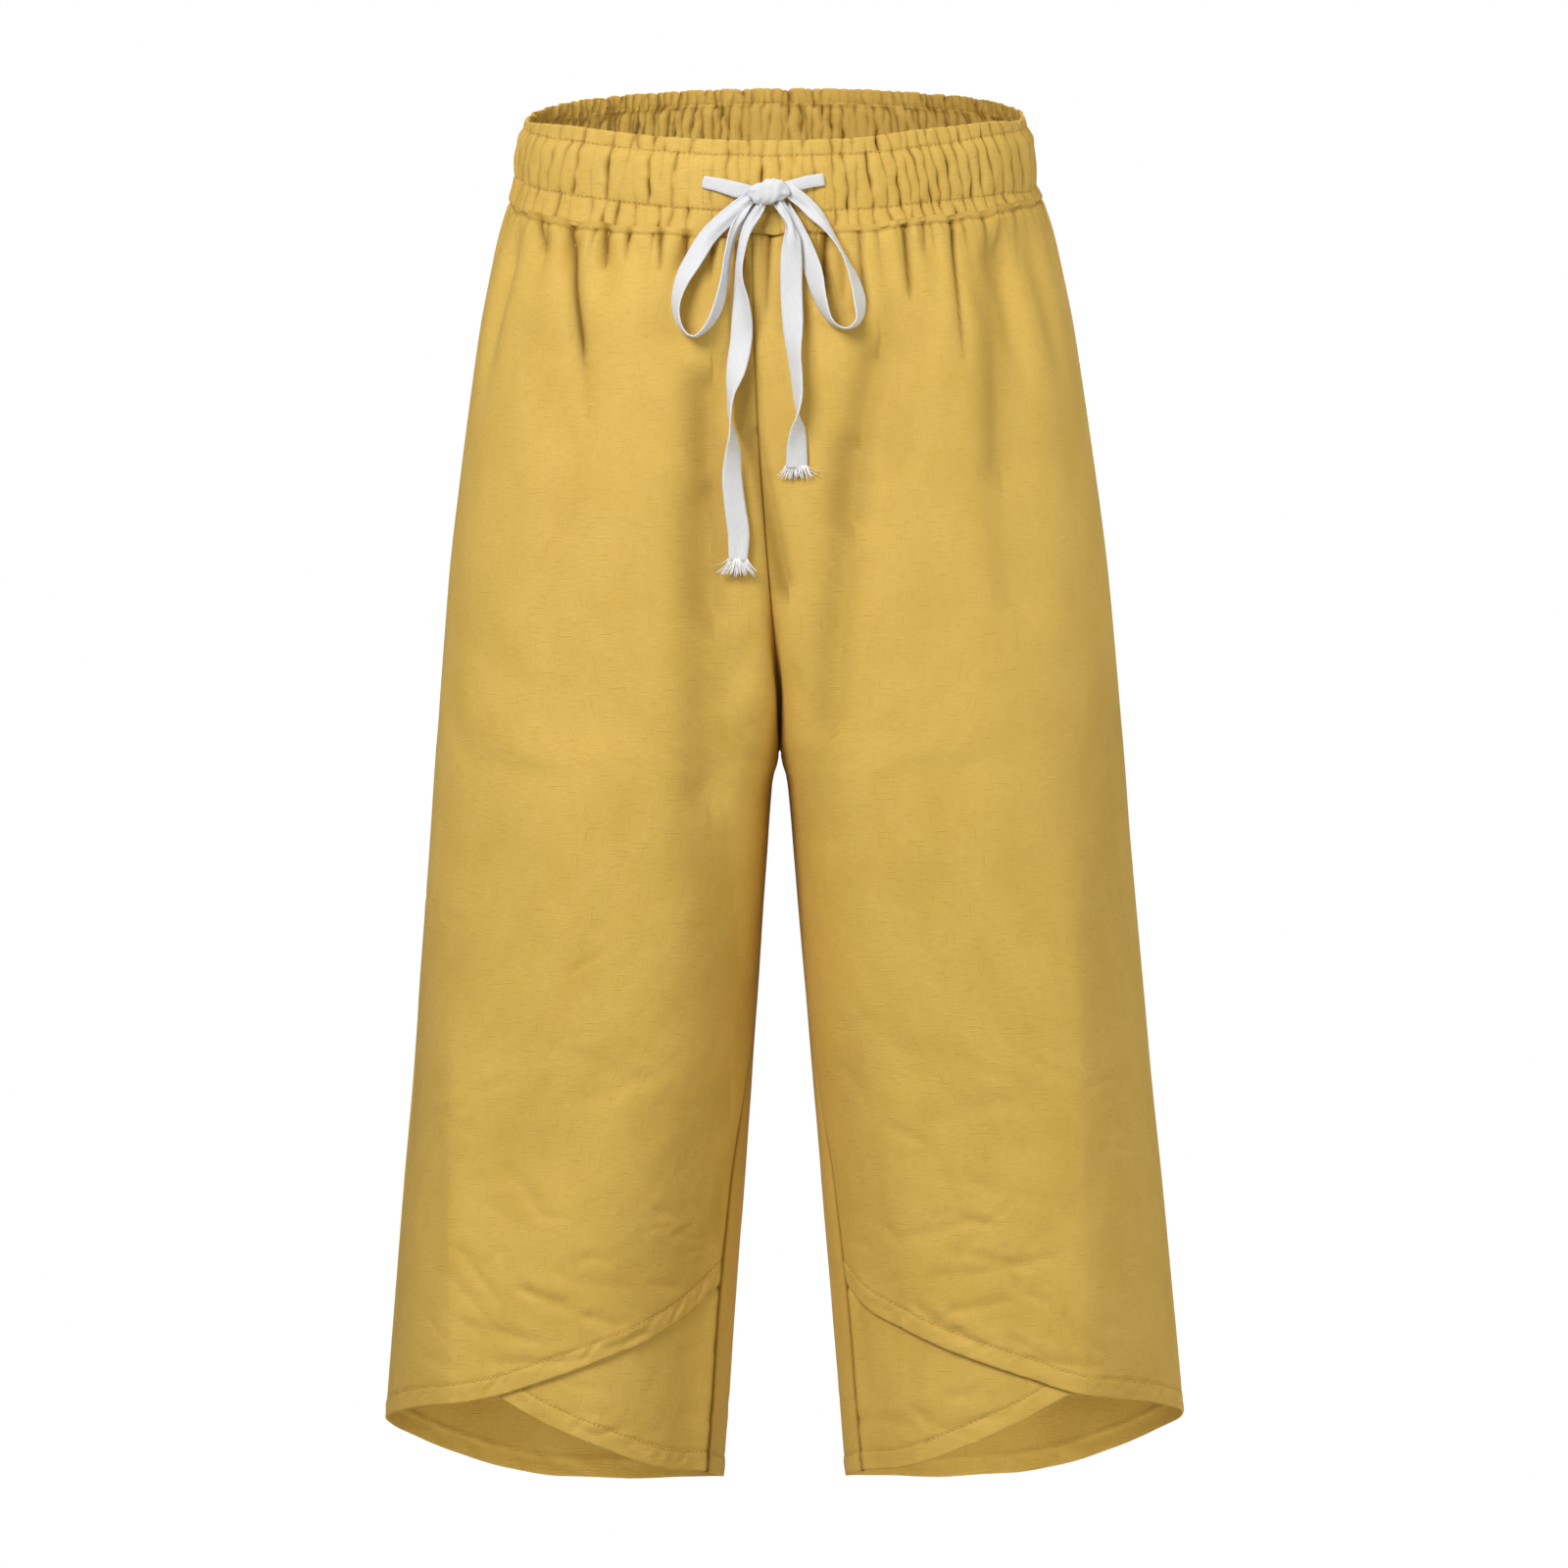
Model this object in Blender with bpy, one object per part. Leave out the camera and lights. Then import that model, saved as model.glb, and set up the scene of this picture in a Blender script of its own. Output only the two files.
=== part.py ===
"""Culottes: wide cropped trousers with a gathered elastic waistband, a drawstring bow and
petal hems, filled out as worn and open at the waist and the legs.

Sizes are in millimetres until a mesh is made. +Z is up and the front faces -Y. Left and
right are the wearer's, so the left leg is at +X. The origin is the middle of the waist, at
the height of the elastic.
"""
import math

import bmesh
import bpy
import numpy as np
from mathutils import Matrix, Vector

MM = 0.001

# Cloth and sewing
CLOTH = 1.6
SEAM_GAP = 0.3
CLEAR = 0.3
UNDER_GAP = 0.75

# Waistband
BAND_TOP = 24.0
BAND_DEPTH_RATIO = 0.71
WAIST_TILT = 0.2
CENTRE_FRONT_SHIFT = -13.0
CENTRE_BACK_SHIFT = -24.0

# Heights that the panels are measured from
BODY_TOP = -23.5
SHIFT_END = -288.0
SHIFT_BEND = 1.8
CROTCH = -328.0
PETAL_START = -560.0
TILT_END = -245.0
SIDE_ROUNDNESS = 2.15
PANEL_WIDTH = 190.0

# Drawstring tape
TAPE_WIDTH = 11.5
TAPE_THICK = 1.5

# Long troughs that meet are blended, and a short fold is shallower where it leaves the band.
TROUGH_BLEND = 4.0
TUCK_START = 0.3

# Fineness of a level line, steps that a surface direction is taken over, and the angle past
# which an edge is crisp.
ARC = np.linspace(0.0, 1.0, 49)
STEP_ALONG = 0.012
STEP_DOWN = 1.5
CRISP_ANGLE = 50.0

FRONT, BACK = -1, 1
LEFT, RIGHT = 1, -1

# Each row of the waistband: drop below its top edge, half width at the sides, wall
# thickness, depth of the pucker on both faces, and how far the doubled cloth waves as one.
BAND_COLUMNS = ("drop", "side", "wall", "pucker", "ripple")
BAND_ROWS = (
    (0.0, 137.2, 1.8, 0.2, 2.8),
    (8.5, 138.8, 2.2, 0.3, 1.0),
    (14.5, 141.8, 4.6, 1.6, 0.6),
    (30.5, 143.8, 4.8, 1.7, 0.6),
    (36.5, 143.8, 2.2, 0.3, 1.0),
    (47.5, 147.0, 1.8, 0.2, 2.0),
)

# How far the waistband's top edge, its two rows of stitching and the seam below it rise above
# level, by angle from the centre front towards the left: elastic draws them up unevenly.
RISE_COLUMNS = ("angle", "top", "upper", "lower", "seam")
RISE_DROPS = (0.0, 8.5, 36.5, 47.5)
RISES = (
    (-125.0, 0.0, 0.0, 0.0, 0.0),
    (-90.0, -1.0, 2.6, 4.8, 1.1),
    (-51.0, 3.7, 4.3, 4.4, 0.2),
    (-16.0, 1.6, 2.4, 1.6, 0.2),
    (0.0, 1.3, 1.8, 0.9, 0.5),
    (18.0, 1.6, 1.8, 0.9, 1.1),
    (36.0, 4.0, 3.5, 2.0, 3.4),
    (57.0, 3.6, 4.8, 1.6, 4.0),
    (75.0, -0.4, 3.2, -1.4, 2.4),
    (90.0, -1.0, 2.0, -1.6, 1.6),
    (125.0, 0.0, 0.0, 0.0, 0.0),
)
RISE_FADE = 26.0

# Runs of gathers round the waistband, by angle from the centre front towards the left. Each
# gather falls and rises at the shares of its own width in GATHER_SHAPE. WIDTH_WAVES are the
# size and pace of the waves that make the gathers uneven in width, and DEPTH_WAVE in depth.
GATHER_COLUMNS = ("node", "start", "end", "count", "depth", "unevenness")
GATHER_SHAPE = (0.2, 0.5, 0.8)
WIDTH_WAVES = ((1.0, 2.4), (0.6, 5.3))
DEPTH_WAVE = (0.32, 3.7)
GATHER_RUNS = (
    ("waistband_front", -90.0, -12.0, 15, 1.0, 0.42),
    ("waistband_front", -12.0, 14.0, 8, 0.8, 0.3),
    ("waistband_front", 14.0, 90.0, 20, 0.75, 0.3),
    ("waistband_back_left", 90.0, None, 28, 0.95, 0.3),
    ("waistband_back_right", None, 270.0, 24, 0.95, 0.3),
)

# Body of the trousers above the crotch. crown is how far out the front and back are
# fullest, the dips are how far the centre seams lie inside that, and squareness keeps the
# cloth full right up to the seam.
TORSO_COLUMNS = ("z", "side", "front", "back", "crown", "front_dip", "back_dip", "squareness")
TORSO_ROWS = (
    (-23.5, 147.0, 104.4, 104.4, 2.0, 0.0, 0.0, 2.0),
    (-42.0, 152.6, 107.0, 108.0, 14.0, 0.2, 0.2, 2.0),
    (-60.0, 156.6, 109.0, 111.0, 28.0, 0.8, 1.0, 2.0),
    (-90.0, 162.6, 111.0, 114.5, 42.0, 1.6, 2.0, 2.05),
    (-130.0, 168.6, 112.5, 118.0, 56.0, 2.8, 3.4, 2.1),
    (-175.0, 174.8, 113.5, 121.0, 68.0, 5.0, 6.0, 2.2),
    (-220.0, 180.4, 114.0, 122.5, 78.0, 11.0, 13.0, 2.45),
    (-258.0, 183.9, 114.0, 122.0, 85.0, 23.0, 26.0, 2.8),
    (-288.0, 186.4, 113.8, 121.0, 89.0, 41.0, 45.0, 3.2),
    (-308.0, 188.0, 113.4, 120.0, 92.0, 62.0, 66.0, 3.5),
    (-321.0, 189.2, 112.9, 118.8, 94.0, 86.0, 90.0, 3.75),
    (-328.0, 189.8, 112.5, 118.0, 95.0, 112.5, 118.0, 4.1),
)

# Legs below the crotch: outer and inner edges, depth to the front and the back, and how
# far the inseam lies in front of the innermost line.
LEG_COLUMNS = ("z", "side", "inner", "front", "back", "inseam", "squareness")
LEG_ROWS = (
    (-328.0, 189.8, 0.15, 112.5, 118.0, 0.0, 4.1),
    (-337.0, 190.5, 2.8, 112.0, 117.4, 0.0, 4.05),
    (-350.0, 191.5, 4.3, 111.2, 116.4, 0.0, 3.85),
    (-400.0, 195.6, 8.4, 107.0, 111.5, 0.0, 3.2),
    (-460.0, 200.8, 13.0, 101.5, 105.5, 12.0, 2.75),
    (-510.0, 205.1, 17.0, 97.4, 100.5, 33.0, 2.5),
    (-560.0, 210.1, 20.8, 93.3, 95.6, 42.0, 2.35),
    (-620.0, 215.5, 25.2, 89.0, 91.0, 42.5, 2.25),
    (-690.0, 221.7, 30.8, 85.0, 86.6, 39.0, 2.2),
    (-760.0, 227.6, 36.4, 82.0, 83.4, 37.5, 2.15),
)

# Hem heights from the inseam (0) round to the side seam (1).
HEM_COLUMNS = ("u", "outer", "under", "back")
HEM_ROWS = (
    (0.0, -612.0, -718.0, -719.0),
    (0.1, -627.0, -714.5, -727.0),
    (0.2, -637.5, -708.0, -733.0),
    (0.3, -646.5, -698.0, -738.5),
    (0.45, -660.0, -682.0, -744.0),
    (0.55, -668.5, -669.0, -743.5),
    (0.65, -673.5, -658.0, -737.5),
    (0.75, -678.0, -649.0, -726.0),
    (0.87, -685.5, -641.0, -709.0),
    (1.0, -694.0, -636.0, -694.0),
)

# Short folds that run down from the waistband: place along the panel from the centre seam
# (0) to the side (1), depth, half width and length.
TUCK_COLUMNS = ("u", "depth", "reach", "length")
TUCKS = {
    "front_right": (
        (0.08, 2.0, 7.0, 30.0),
        (0.19, 3.0, 7.0, 60.0),
        (0.31, 2.8, 7.0, 40.0),
        (0.42, 3.4, 7.0, 56.0),
        (0.53, 2.8, 7.0, 40.0),
        (0.64, 3.6, 7.0, 40.0),
        (0.79, 5.6, 8.0, 110.0),
        (0.92, 3.0, 7.0, 34.0),
    ),
    "front_left": (
        (0.12, 3.0, 7.0, 70.0),
        (0.22, 2.6, 7.0, 36.0),
        (0.33, 3.6, 7.0, 80.0),
        (0.45, 3.2, 7.0, 44.0),
        (0.54, 3.4, 7.0, 52.0),
        (0.64, 5.0, 7.0, 96.0),
        (0.77, 3.6, 8.0, 120.0),
        (0.9, 3.0, 7.0, 56.0),
    ),
    "back_left": (
        (0.08, 2.8, 7.0, 44.0),
        (0.17, 3.8, 7.0, 80.0),
        (0.27, 3.0, 7.0, 40.0),
        (0.37, 4.6, 7.0, 110.0),
        (0.47, 3.0, 7.0, 50.0),
        (0.57, 3.8, 7.0, 64.0),
        (0.68, 4.6, 7.0, 96.0),
        (0.79, 3.0, 7.0, 40.0),
        (0.91, 3.4, 7.0, 60.0),
    ),
    "back_right": (
        (0.09, 3.2, 7.0, 60.0),
        (0.19, 3.0, 7.0, 40.0),
        (0.3, 4.6, 7.0, 104.0),
        (0.4, 3.0, 7.0, 50.0),
        (0.51, 4.0, 7.0, 78.0),
        (0.62, 3.0, 7.0, 44.0),
        (0.72, 4.4, 7.0, 90.0),
        (0.82, 3.2, 7.0, 50.0),
        (0.92, 3.0, 7.0, 36.0),
    ),
}

# Long soft troughs, as seen from the front or the back: both ends, half width and depth.
TROUGH_COLUMNS = ("face", "x_top", "z_top", "x_bottom", "z_bottom", "reach", "depth")
TROUGHS = (
    (FRONT, -44.0, -80.0, -47.0, -330.0, 16.0, 6.5),
    (FRONT, -50.0, -330.0, -66.0, -740.0, 20.0, 3.5),
    (FRONT, 108.0, -40.0, 118.0, -250.0, 16.0, 6.5),
    (FRONT, 118.0, -250.0, 150.0, -720.0, 20.0, 3.5),
    (FRONT, 22.0, -130.0, 38.0, -245.0, 14.0, 4.5),
    (FRONT, 38.0, -245.0, 18.0, -300.0, 14.0, 4.5),
    (FRONT, -112.0, -90.0, -108.0, -300.0, 18.0, 2.5),
    (FRONT, 86.0, -400.0, 124.0, -530.0, 20.0, 2.5),
    (FRONT, -150.0, -380.0, -122.0, -540.0, 20.0, 2.5),
    (BACK, -70.0, -70.0, -84.0, -330.0, 18.0, 5.0),
    (BACK, -88.0, -330.0, -104.0, -660.0, 20.0, 3.5),
    (BACK, 62.0, -60.0, 78.0, -360.0, 18.0, 5.0),
    (BACK, 80.0, -360.0, 128.0, -680.0, 20.0, 3.5),
    (BACK, 128.0, -90.0, 140.0, -330.0, 16.0, 3.0),
    (BACK, -20.0, -250.0, -96.0, -350.0, 16.0, 4.0),
    (BACK, 20.0, -250.0, 92.0, -345.0, 16.0, 4.0),
)

PANEL_HEIGHTS = (-23.5, -33.0, -44.0, -62.0, -90.0, -130.0, -175.0, -220.0, -258.0,
                 -288.0, -308.0, -321.0, -328.0, -337.0, -352.0, -400.0, -460.0, -510.0)
HEM_STEPS = (0.0, 0.34, 0.68, 1.0)
UNDER_STEPS = (0.0, 0.25, 0.5, 0.75, 1.0)

# The bow: place across and up, how far the tape's near side stands off the cloth, its turn
# about its own run (0 is face on), and the share of its width left where it is bunched.
KNOT_CENTRE = (-3.7, -21.5)
KNOT_SIZE = (10.3, 5.3, 8.0)
KNOT_SQUARENESS = 0.76
KNOT_FOLD = 0.08
TAPE_COLUMNS = ("x", "z", "lift", "turn", "share")
TAPES = {
    "lead_right": (
        (-38.0, -15.8, 0.3, 0.0, 0.57),
        (-29.2, -17.7, 0.6, 0.0, 0.64),
        (-21.2, -20.0, 1.0, 0.0, 0.72),
        (-13.6, -21.8, 1.4, 0.0, 0.68),
    ),
    "lead_left": (
        (25.0, -15.0, 0.3, 0.0, 0.57),
        (17.4, -16.2, 0.6, 0.0, 0.59),
        (12.2, -17.4, 1.0, 0.0, 0.57),
        (6.8, -18.6, 1.4, 0.0, 0.54),
    ),
    "loop_right": (
        (-15.4, -26.0, 3.6, 4.0, 0.66),
        (-22.6, -32.0, 3.2, 8.0, 0.78),
        (-35.0, -43.5, 1.6, 14.0, 0.84),
        (-43.2, -56.0, 0.9, 28.0, 0.92),
        (-49.9, -68.0, 0.6, 50.0, 1.0),
        (-53.2, -80.5, 0.5, 68.0, 1.0),
        (-51.2, -91.3, 0.5, 80.0, 1.0),
        (-45.4, -97.3, 0.5, 88.0, 1.0),
        (-39.0, -94.8, 0.5, 80.0, 1.0),
        (-32.0, -84.6, 0.5, 66.0, 1.0),
        (-27.8, -70.0, 0.7, 68.0, 1.0),
        (-25.4, -55.0, 1.0, 72.0, 0.91),
        (-21.9, -42.0, 2.0, 62.0, 0.7),
        (-15.8, -32.6, 3.2, 24.0, 0.49),
    ),
    "loop_left": (
        (9.2, -22.4, 3.5, -4.0, 0.68),
        (16.6, -28.6, 3.2, -10.0, 0.7),
        (26.6, -40.0, 1.8, -64.0, 0.9),
        (35.2, -54.0, 0.9, -84.0, 1.0),
        (41.4, -68.0, 0.6, -66.0, 1.0),
        (44.0, -80.0, 0.5, -58.0, 1.0),
        (42.8, -90.0, 0.5, -76.0, 1.0),
        (36.2, -93.8, 0.5, -88.0, 1.0),
        (28.4, -89.6, 0.5, -78.0, 1.0),
        (23.2, -78.0, 0.6, -56.0, 1.0),
        (19.6, -64.0, 0.8, -36.0, 1.0),
        (14.8, -50.0, 1.0, -26.0, 0.83),
        (10.2, -38.0, 2.2, -20.0, 0.56),
        (6.8, -31.4, 3.2, -6.0, 0.43),
    ),
    "end_right": (
        (-9.4, -30.8, 5.8, 30.0, 0.47),
        (-15.8, -41.6, 3.6, 58.0, 0.7),
        (-19.2, -56.0, 1.6, 70.0, 0.91),
        (-19.9, -68.0, 0.9, 68.0, 1.0),
        (-18.5, -82.0, 0.5, 38.0, 1.0),
        (-18.7, -98.0, 0.4, 4.0, 1.0),
        (-21.4, -114.0, 0.4, 26.0, 1.0),
        (-24.4, -128.0, 0.5, 70.0, 1.0),
        (-25.2, -139.0, 0.5, 84.0, 1.0),
        (-23.9, -149.0, 0.5, 106.0, 1.0),
        (-23.6, -159.0, 0.5, 134.0, 1.0),
        (-24.2, -172.0, 0.5, 154.0, 1.0),
        (-22.8, -187.0, 0.4, 164.0, 1.0),
        (-21.0, -202.0, 0.4, 174.0, 1.0),
        (-21.4, -216.5, 0.4, 180.0, 0.85),
    ),
    "end_left": (
        (3.4, -30.4, 6.0, -20.0, 0.52),
        (7.4, -38.0, 6.3, -30.0, 0.46),
        (8.4, -46.0, 6.0, -16.0, 0.8),
        (8.0, -56.0, 4.6, -6.0, 0.98),
        (7.9, -74.0, 2.8, 0.0, 1.0),
        (8.5, -90.0, 1.0, 20.0, 1.0),
        (9.0, -106.0, 0.5, 50.0, 1.0),
        (10.2, -118.0, 0.5, 58.0, 1.0),
        (10.9, -129.0, 0.5, 66.0, 1.0),
        (10.9, -138.0, 0.5, 88.0, 1.0),
        (10.7, -147.0, 0.5, 132.0, 1.0),
        (10.2, -157.0, 0.5, 158.0, 1.0),
        (10.0, -167.5, 0.4, 174.0, 1.0),
    ),
}
TAPE_STEPS_PER_SPAN = 2

# Frayed ends: strands across and through, their length, and how wide they fan out.
FRAY_COLUMNS = ("tape", "across", "through", "length", "fan", "lift")
FRAYS = {
    "frayed_tip_right": ("end_right", 8, 2, 10.5, 21.0, 1.5),
    "frayed_tip_left": ("end_left", 8, 2, 8.5, 17.0, 1.5),
}
FRAY_ROOT = 2.0
STRAND_TAPER = 0.72
STRAND_UNEVENNESS = 0.14
STRAND_SPREAD = (0.3, 0.7)

MUSTARD = (0.68, 0.44, 0.13, 1.0)
TAPE_WHITE = (0.78, 0.78, 0.8, 1.0)


def read_table(rows, columns, key, name):
    """Value of one column at a key in the first column, on a smooth curve through the rows."""
    place = columns.index(name)
    keys = [row[0] for row in rows]
    values = [row[place] for row in rows]
    falling = keys[0] > keys[-1]
    if falling:
        keys = [-k for k in keys]
        key = -key
    key = min(max(key, keys[0]), keys[-1])
    i = 0
    while i < len(keys) - 2 and key > keys[i + 1]:
        i += 1
    slopes = [(values[k + 1] - values[k]) / (keys[k + 1] - keys[k]) for k in range(len(keys) - 1)]

    def tangent(k):
        if k == 0:
            return slopes[0]
        if k == len(keys) - 1:
            return slopes[-1]
        before, after = slopes[k - 1], slopes[k]
        if before * after <= 0.0:
            return 0.0
        return 2.0 * before * after / (before + after)

    span = keys[i + 1] - keys[i]
    t = (key - keys[i]) / span
    return ((2 * t**3 - 3 * t**2 + 1) * values[i] + (t**3 - 2 * t**2 + t) * span * tangent(i)
            + (3 * t**2 - 2 * t**3) * values[i + 1] + (t**3 - t**2) * span * tangent(i + 1))


def smooth_step(t):
    t = min(max(t, 0.0), 1.0)
    return t * t * (3.0 - 2.0 * t)


def rise(angle, drop):
    """How far the cloth rises above level at an angle and a drop below the top edge."""
    degrees = (np.degrees(angle) + 180.0) % 360.0 - 180.0
    heights = [read_table(RISES, RISE_COLUMNS, degrees, name) for name in RISE_COLUMNS[1:]]
    total = heights[0]
    for start, end, a, b in zip(RISE_DROPS, RISE_DROPS[1:], heights, heights[1:]):
        total = total + (b - a) * np.clip((drop - start) / (end - start), 0.0, 1.0)
    return total


def seam_rise(x, y, below):
    """The panels follow the seam's rise and lose it further down."""
    angle = np.arctan2(x, -y / BAND_DEPTH_RATIO)
    return rise(angle, BAND_ROWS[-1][0]) * np.exp(-below / RISE_FADE)


def centre_shift(face, z):
    """How far the centre seam lies to one side; it comes back to the middle at the crotch."""
    shift = CENTRE_FRONT_SHIFT if face == FRONT else CENTRE_BACK_SHIFT
    fallen = min(max((BODY_TOP - z) / (BODY_TOP - SHIFT_END), 0.0), 1.0)
    return shift * (1.0 - fallen ** SHIFT_BEND)


def tilt(z):
    """Slope of the level lines, which follow the waist down to the hips."""
    return WAIST_TILT * (1.0 - smooth_step((BODY_TOP - z) / (BODY_TOP - TILT_END)))


def outer_arc(crown, side, depth):
    """From the fullest point out to the side seam."""
    angle = ARC * math.pi / 2.0
    power = 2.0 / SIDE_ROUNDNESS
    x = crown + (side - crown) * np.sin(angle) ** power
    y = depth * np.cos(angle) ** power
    return np.column_stack((x, y))


def inner_arc(crown, inner, depth, seam_depth, squareness):
    """From the centre seam, or the innermost line of a leg, out to the fullest point."""
    angle = (1.0 - ARC) * math.pi / 2.0
    x = crown - (crown - inner) * np.sin(angle) ** (2.0 / squareness)
    y = seam_depth + (depth - seam_depth) * np.cos(angle) ** (2.0 / squareness)
    return np.column_stack((x, y))


def torso_line(face, side, z):
    """Half of a level line above the crotch, from the centre seam to the side seam."""
    name = "front" if face == FRONT else "back"
    value = {c: read_table(TORSO_ROWS, TORSO_COLUMNS, z, c) for c in TORSO_COLUMNS[1:]}
    seam_depth = max(value[name] - value[name + "_dip"], SEAM_GAP / 2.0)
    inner = inner_arc(value["crown"], SEAM_GAP / 2.0, value[name], seam_depth,
                      value["squareness"])
    line = np.vstack((inner, outer_arc(value["crown"], value["side"], value[name])[1:]))
    line[:, 0] += side * centre_shift(face, z) * (1.0 - line[:, 0] / value["side"]) ** 2
    return line * (1.0, face)


def leg_line(face, z):
    """Half of a level line below the crotch, from the inseam to the side seam."""
    value = {c: read_table(LEG_ROWS, LEG_COLUMNS, z, c) for c in LEG_COLUMNS[1:]}
    crown = (value["side"] + value["inner"]) / 2.0
    front = inner_arc(crown, value["inner"], value["front"], 0.0, value["squareness"])
    inseam = [np.interp(value["inseam"], front[:, 1], front[:, 0]), value["inseam"]]
    if face == FRONT:
        inner = np.vstack((inseam, front[front[:, 1] > value["inseam"]]))
        outer = outer_arc(crown, value["side"], value["front"])
        return np.vstack((inner, outer[1:])) * (1.0, -1.0)
    wrap = np.vstack((inseam, front[front[:, 1] < value["inseam"]][::-1])) * (1.0, -1.0)
    back = inner_arc(crown, value["inner"], value["back"], 0.0, value["squareness"])
    return np.vstack((wrap, back[1:], outer_arc(crown, value["side"], value["back"])[1:]))


LINE_CACHE = {}


def level_line(face, side, z):
    """The line with its distances along it, kept because neighbouring points share it."""
    key = (face, side if z > SHIFT_END else 0, round(z, 4))
    if key not in LINE_CACHE:
        line = torso_line(face, side, z) if z >= CROTCH else leg_line(face, z)
        steps = np.hypot(*np.diff(line, axis=0).T)
        LINE_CACHE[key] = (line, np.concatenate(([0.0], np.cumsum(steps))))
    return LINE_CACHE[key]


def form_point(face, side, u, z):
    """Point of the smooth form: u runs from the centre seam or inseam (0) to the side (1),
    and past it onto the other face."""
    if u > 1.0:
        near = level_line(face, side, z)[1][-1]
        face = -face
        u = 1.0 - (u - 1.0) * near / level_line(face, side, z)[1][-1]
    line, along = level_line(face, side, z)
    x = np.interp(u * along[-1], along, line[:, 0])
    y = np.interp(u * along[-1], along, line[:, 1])
    x = side * float(x)
    y = float(y)
    return Vector((x, y, z + tilt(z) * y + seam_rise(x, y, BODY_TOP - z)))


def form_normal(face, side, u, z):
    """Outward direction of the smooth form."""
    before = form_point(face, side, max(u - STEP_ALONG, 0.0), z)
    along = form_point(face, side, u + STEP_ALONG, z) - before
    above = form_point(face, side, u, z + STEP_DOWN)
    down = form_point(face, side, u, z - STEP_DOWN) - above
    return (along.cross(down) * (face * side)).normalized()


def trough_depth(face, x, z):
    """How far the long soft troughs draw the cloth in, blended where they meet."""
    total = 0.0
    for row in TROUGHS:
        trough = dict(zip(TROUGH_COLUMNS, row))
        if trough["face"] != face:
            continue
        top = Vector((trough["x_top"], trough["z_top"]))
        run = Vector((trough["x_bottom"], trough["z_bottom"])) - top
        t = min(max((Vector((x, z)) - top).dot(run) / run.length_squared, 0.0), 1.0)
        off = (Vector((x, z)) - top - run * t).length / trough["reach"]
        total += (trough["depth"] * math.exp(-off * off)) ** TROUGH_BLEND
    return total ** (1.0 / TROUGH_BLEND)


def tuck_depth(panel, u, z):
    """How far the short folds below the waistband draw the cloth in."""
    total = 0.0
    for row in TUCKS[panel]:
        tuck = dict(zip(TUCK_COLUMNS, row))
        off = (u - tuck["u"]) * PANEL_WIDTH / tuck["reach"]
        below = (BODY_TOP - z) / tuck["length"]
        fade = TUCK_START + (1.0 - TUCK_START) * smooth_step(below * 4.0)
        fade *= 1.0 - smooth_step(below - 0.2)
        total += tuck["depth"] * math.exp(-off * off) * fade
    return total


def panel_name(face, side):
    return ("front_" if face == FRONT else "back_") + ("left" if side == LEFT else "right")


def cloth_faces(face, side, u, z, inset=0.0):
    """Outer and inner point of the folded cloth."""
    point = form_point(face, side, u, z)
    normal = form_normal(face, side, u, z)
    dip = trough_depth(face, point.x, z) * math.sin(math.pi * min(max(u, 0.0), 1.0)) ** 0.5
    dip += tuck_depth(panel_name(face, side), u, z)
    outer = point - normal * (dip + inset)
    return outer, outer - normal * CLOTH


def add_object(name, mesh, material):
    thing = bpy.data.objects.new(name, mesh)
    mesh.materials.append(material)
    PARTS.objects.link(thing)
    return thing


def loft_wall(name, sections, material):
    """Closed wall through sections, each an outer and an inner line from top to bottom."""
    rows = len(sections[0][0])
    bm = bmesh.new()
    grid = []
    for outer, inner in sections:
        grid.append([[bm.verts.new(p * MM) for p in line] for line in (outer, inner)])
    for near, far in zip(grid, grid[1:]):
        for k in range(rows - 1):
            bm.faces.new((near[0][k], near[0][k + 1], far[0][k + 1], far[0][k]))
            bm.faces.new((near[1][k + 1], near[1][k], far[1][k], far[1][k + 1]))
        bm.faces.new((near[0][0], far[0][0], far[1][0], near[1][0]))
        bm.faces.new((near[0][-1], near[1][-1], far[1][-1], far[0][-1]))
    for edge in (grid[0], grid[-1]):
        for k in range(rows - 1):
            bm.faces.new((edge[0][k], edge[1][k], edge[1][k + 1], edge[0][k + 1]))
    bmesh.ops.recalc_face_normals(bm, faces=bm.faces)
    mesh = bpy.data.meshes.new(name)
    bm.to_mesh(mesh)
    bm.free()
    mesh.shade_smooth()
    mesh.set_sharp_from_angle(angle=math.radians(CRISP_ANGLE))
    return add_object(name, mesh, material)


def panel_columns(panel):
    """Columns at the bottom of each tuck and halfway between neighbours."""
    tucks = [row[0] for row in TUCKS[panel]]
    edges = [0.0] + tucks + [1.0]
    halves = [(a + b) / 2.0 for a, b in zip(edges, edges[1:])]
    return sorted(edges + halves)


def edge_trim(face, side, u, z):
    """Move a column at a seam half a gap in from it."""
    length = level_line(face, side, z)[1][-1]
    margin = SEAM_GAP / 2.0 / length
    start = margin if z < CROTCH else 0.0
    return min(max(u, start), 1.0 - margin)


def make_leg_panel(face, side, material):
    name = panel_name(face, side)
    hem = "outer" if face == FRONT else "back"
    sections = []
    for u in panel_columns(name):
        bottom = read_table(HEM_ROWS, HEM_COLUMNS, u, hem)
        heights = [z if k else z - SEAM_GAP for k, z in enumerate(PANEL_HEIGHTS)]
        heights += [PETAL_START + (bottom - PETAL_START) * step for step in HEM_STEPS]
        faces = [cloth_faces(face, side, edge_trim(face, side, u, z), z) for z in heights]
        sections.append(tuple(zip(*faces)))
    return loft_wall(name, sections, material)


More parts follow.
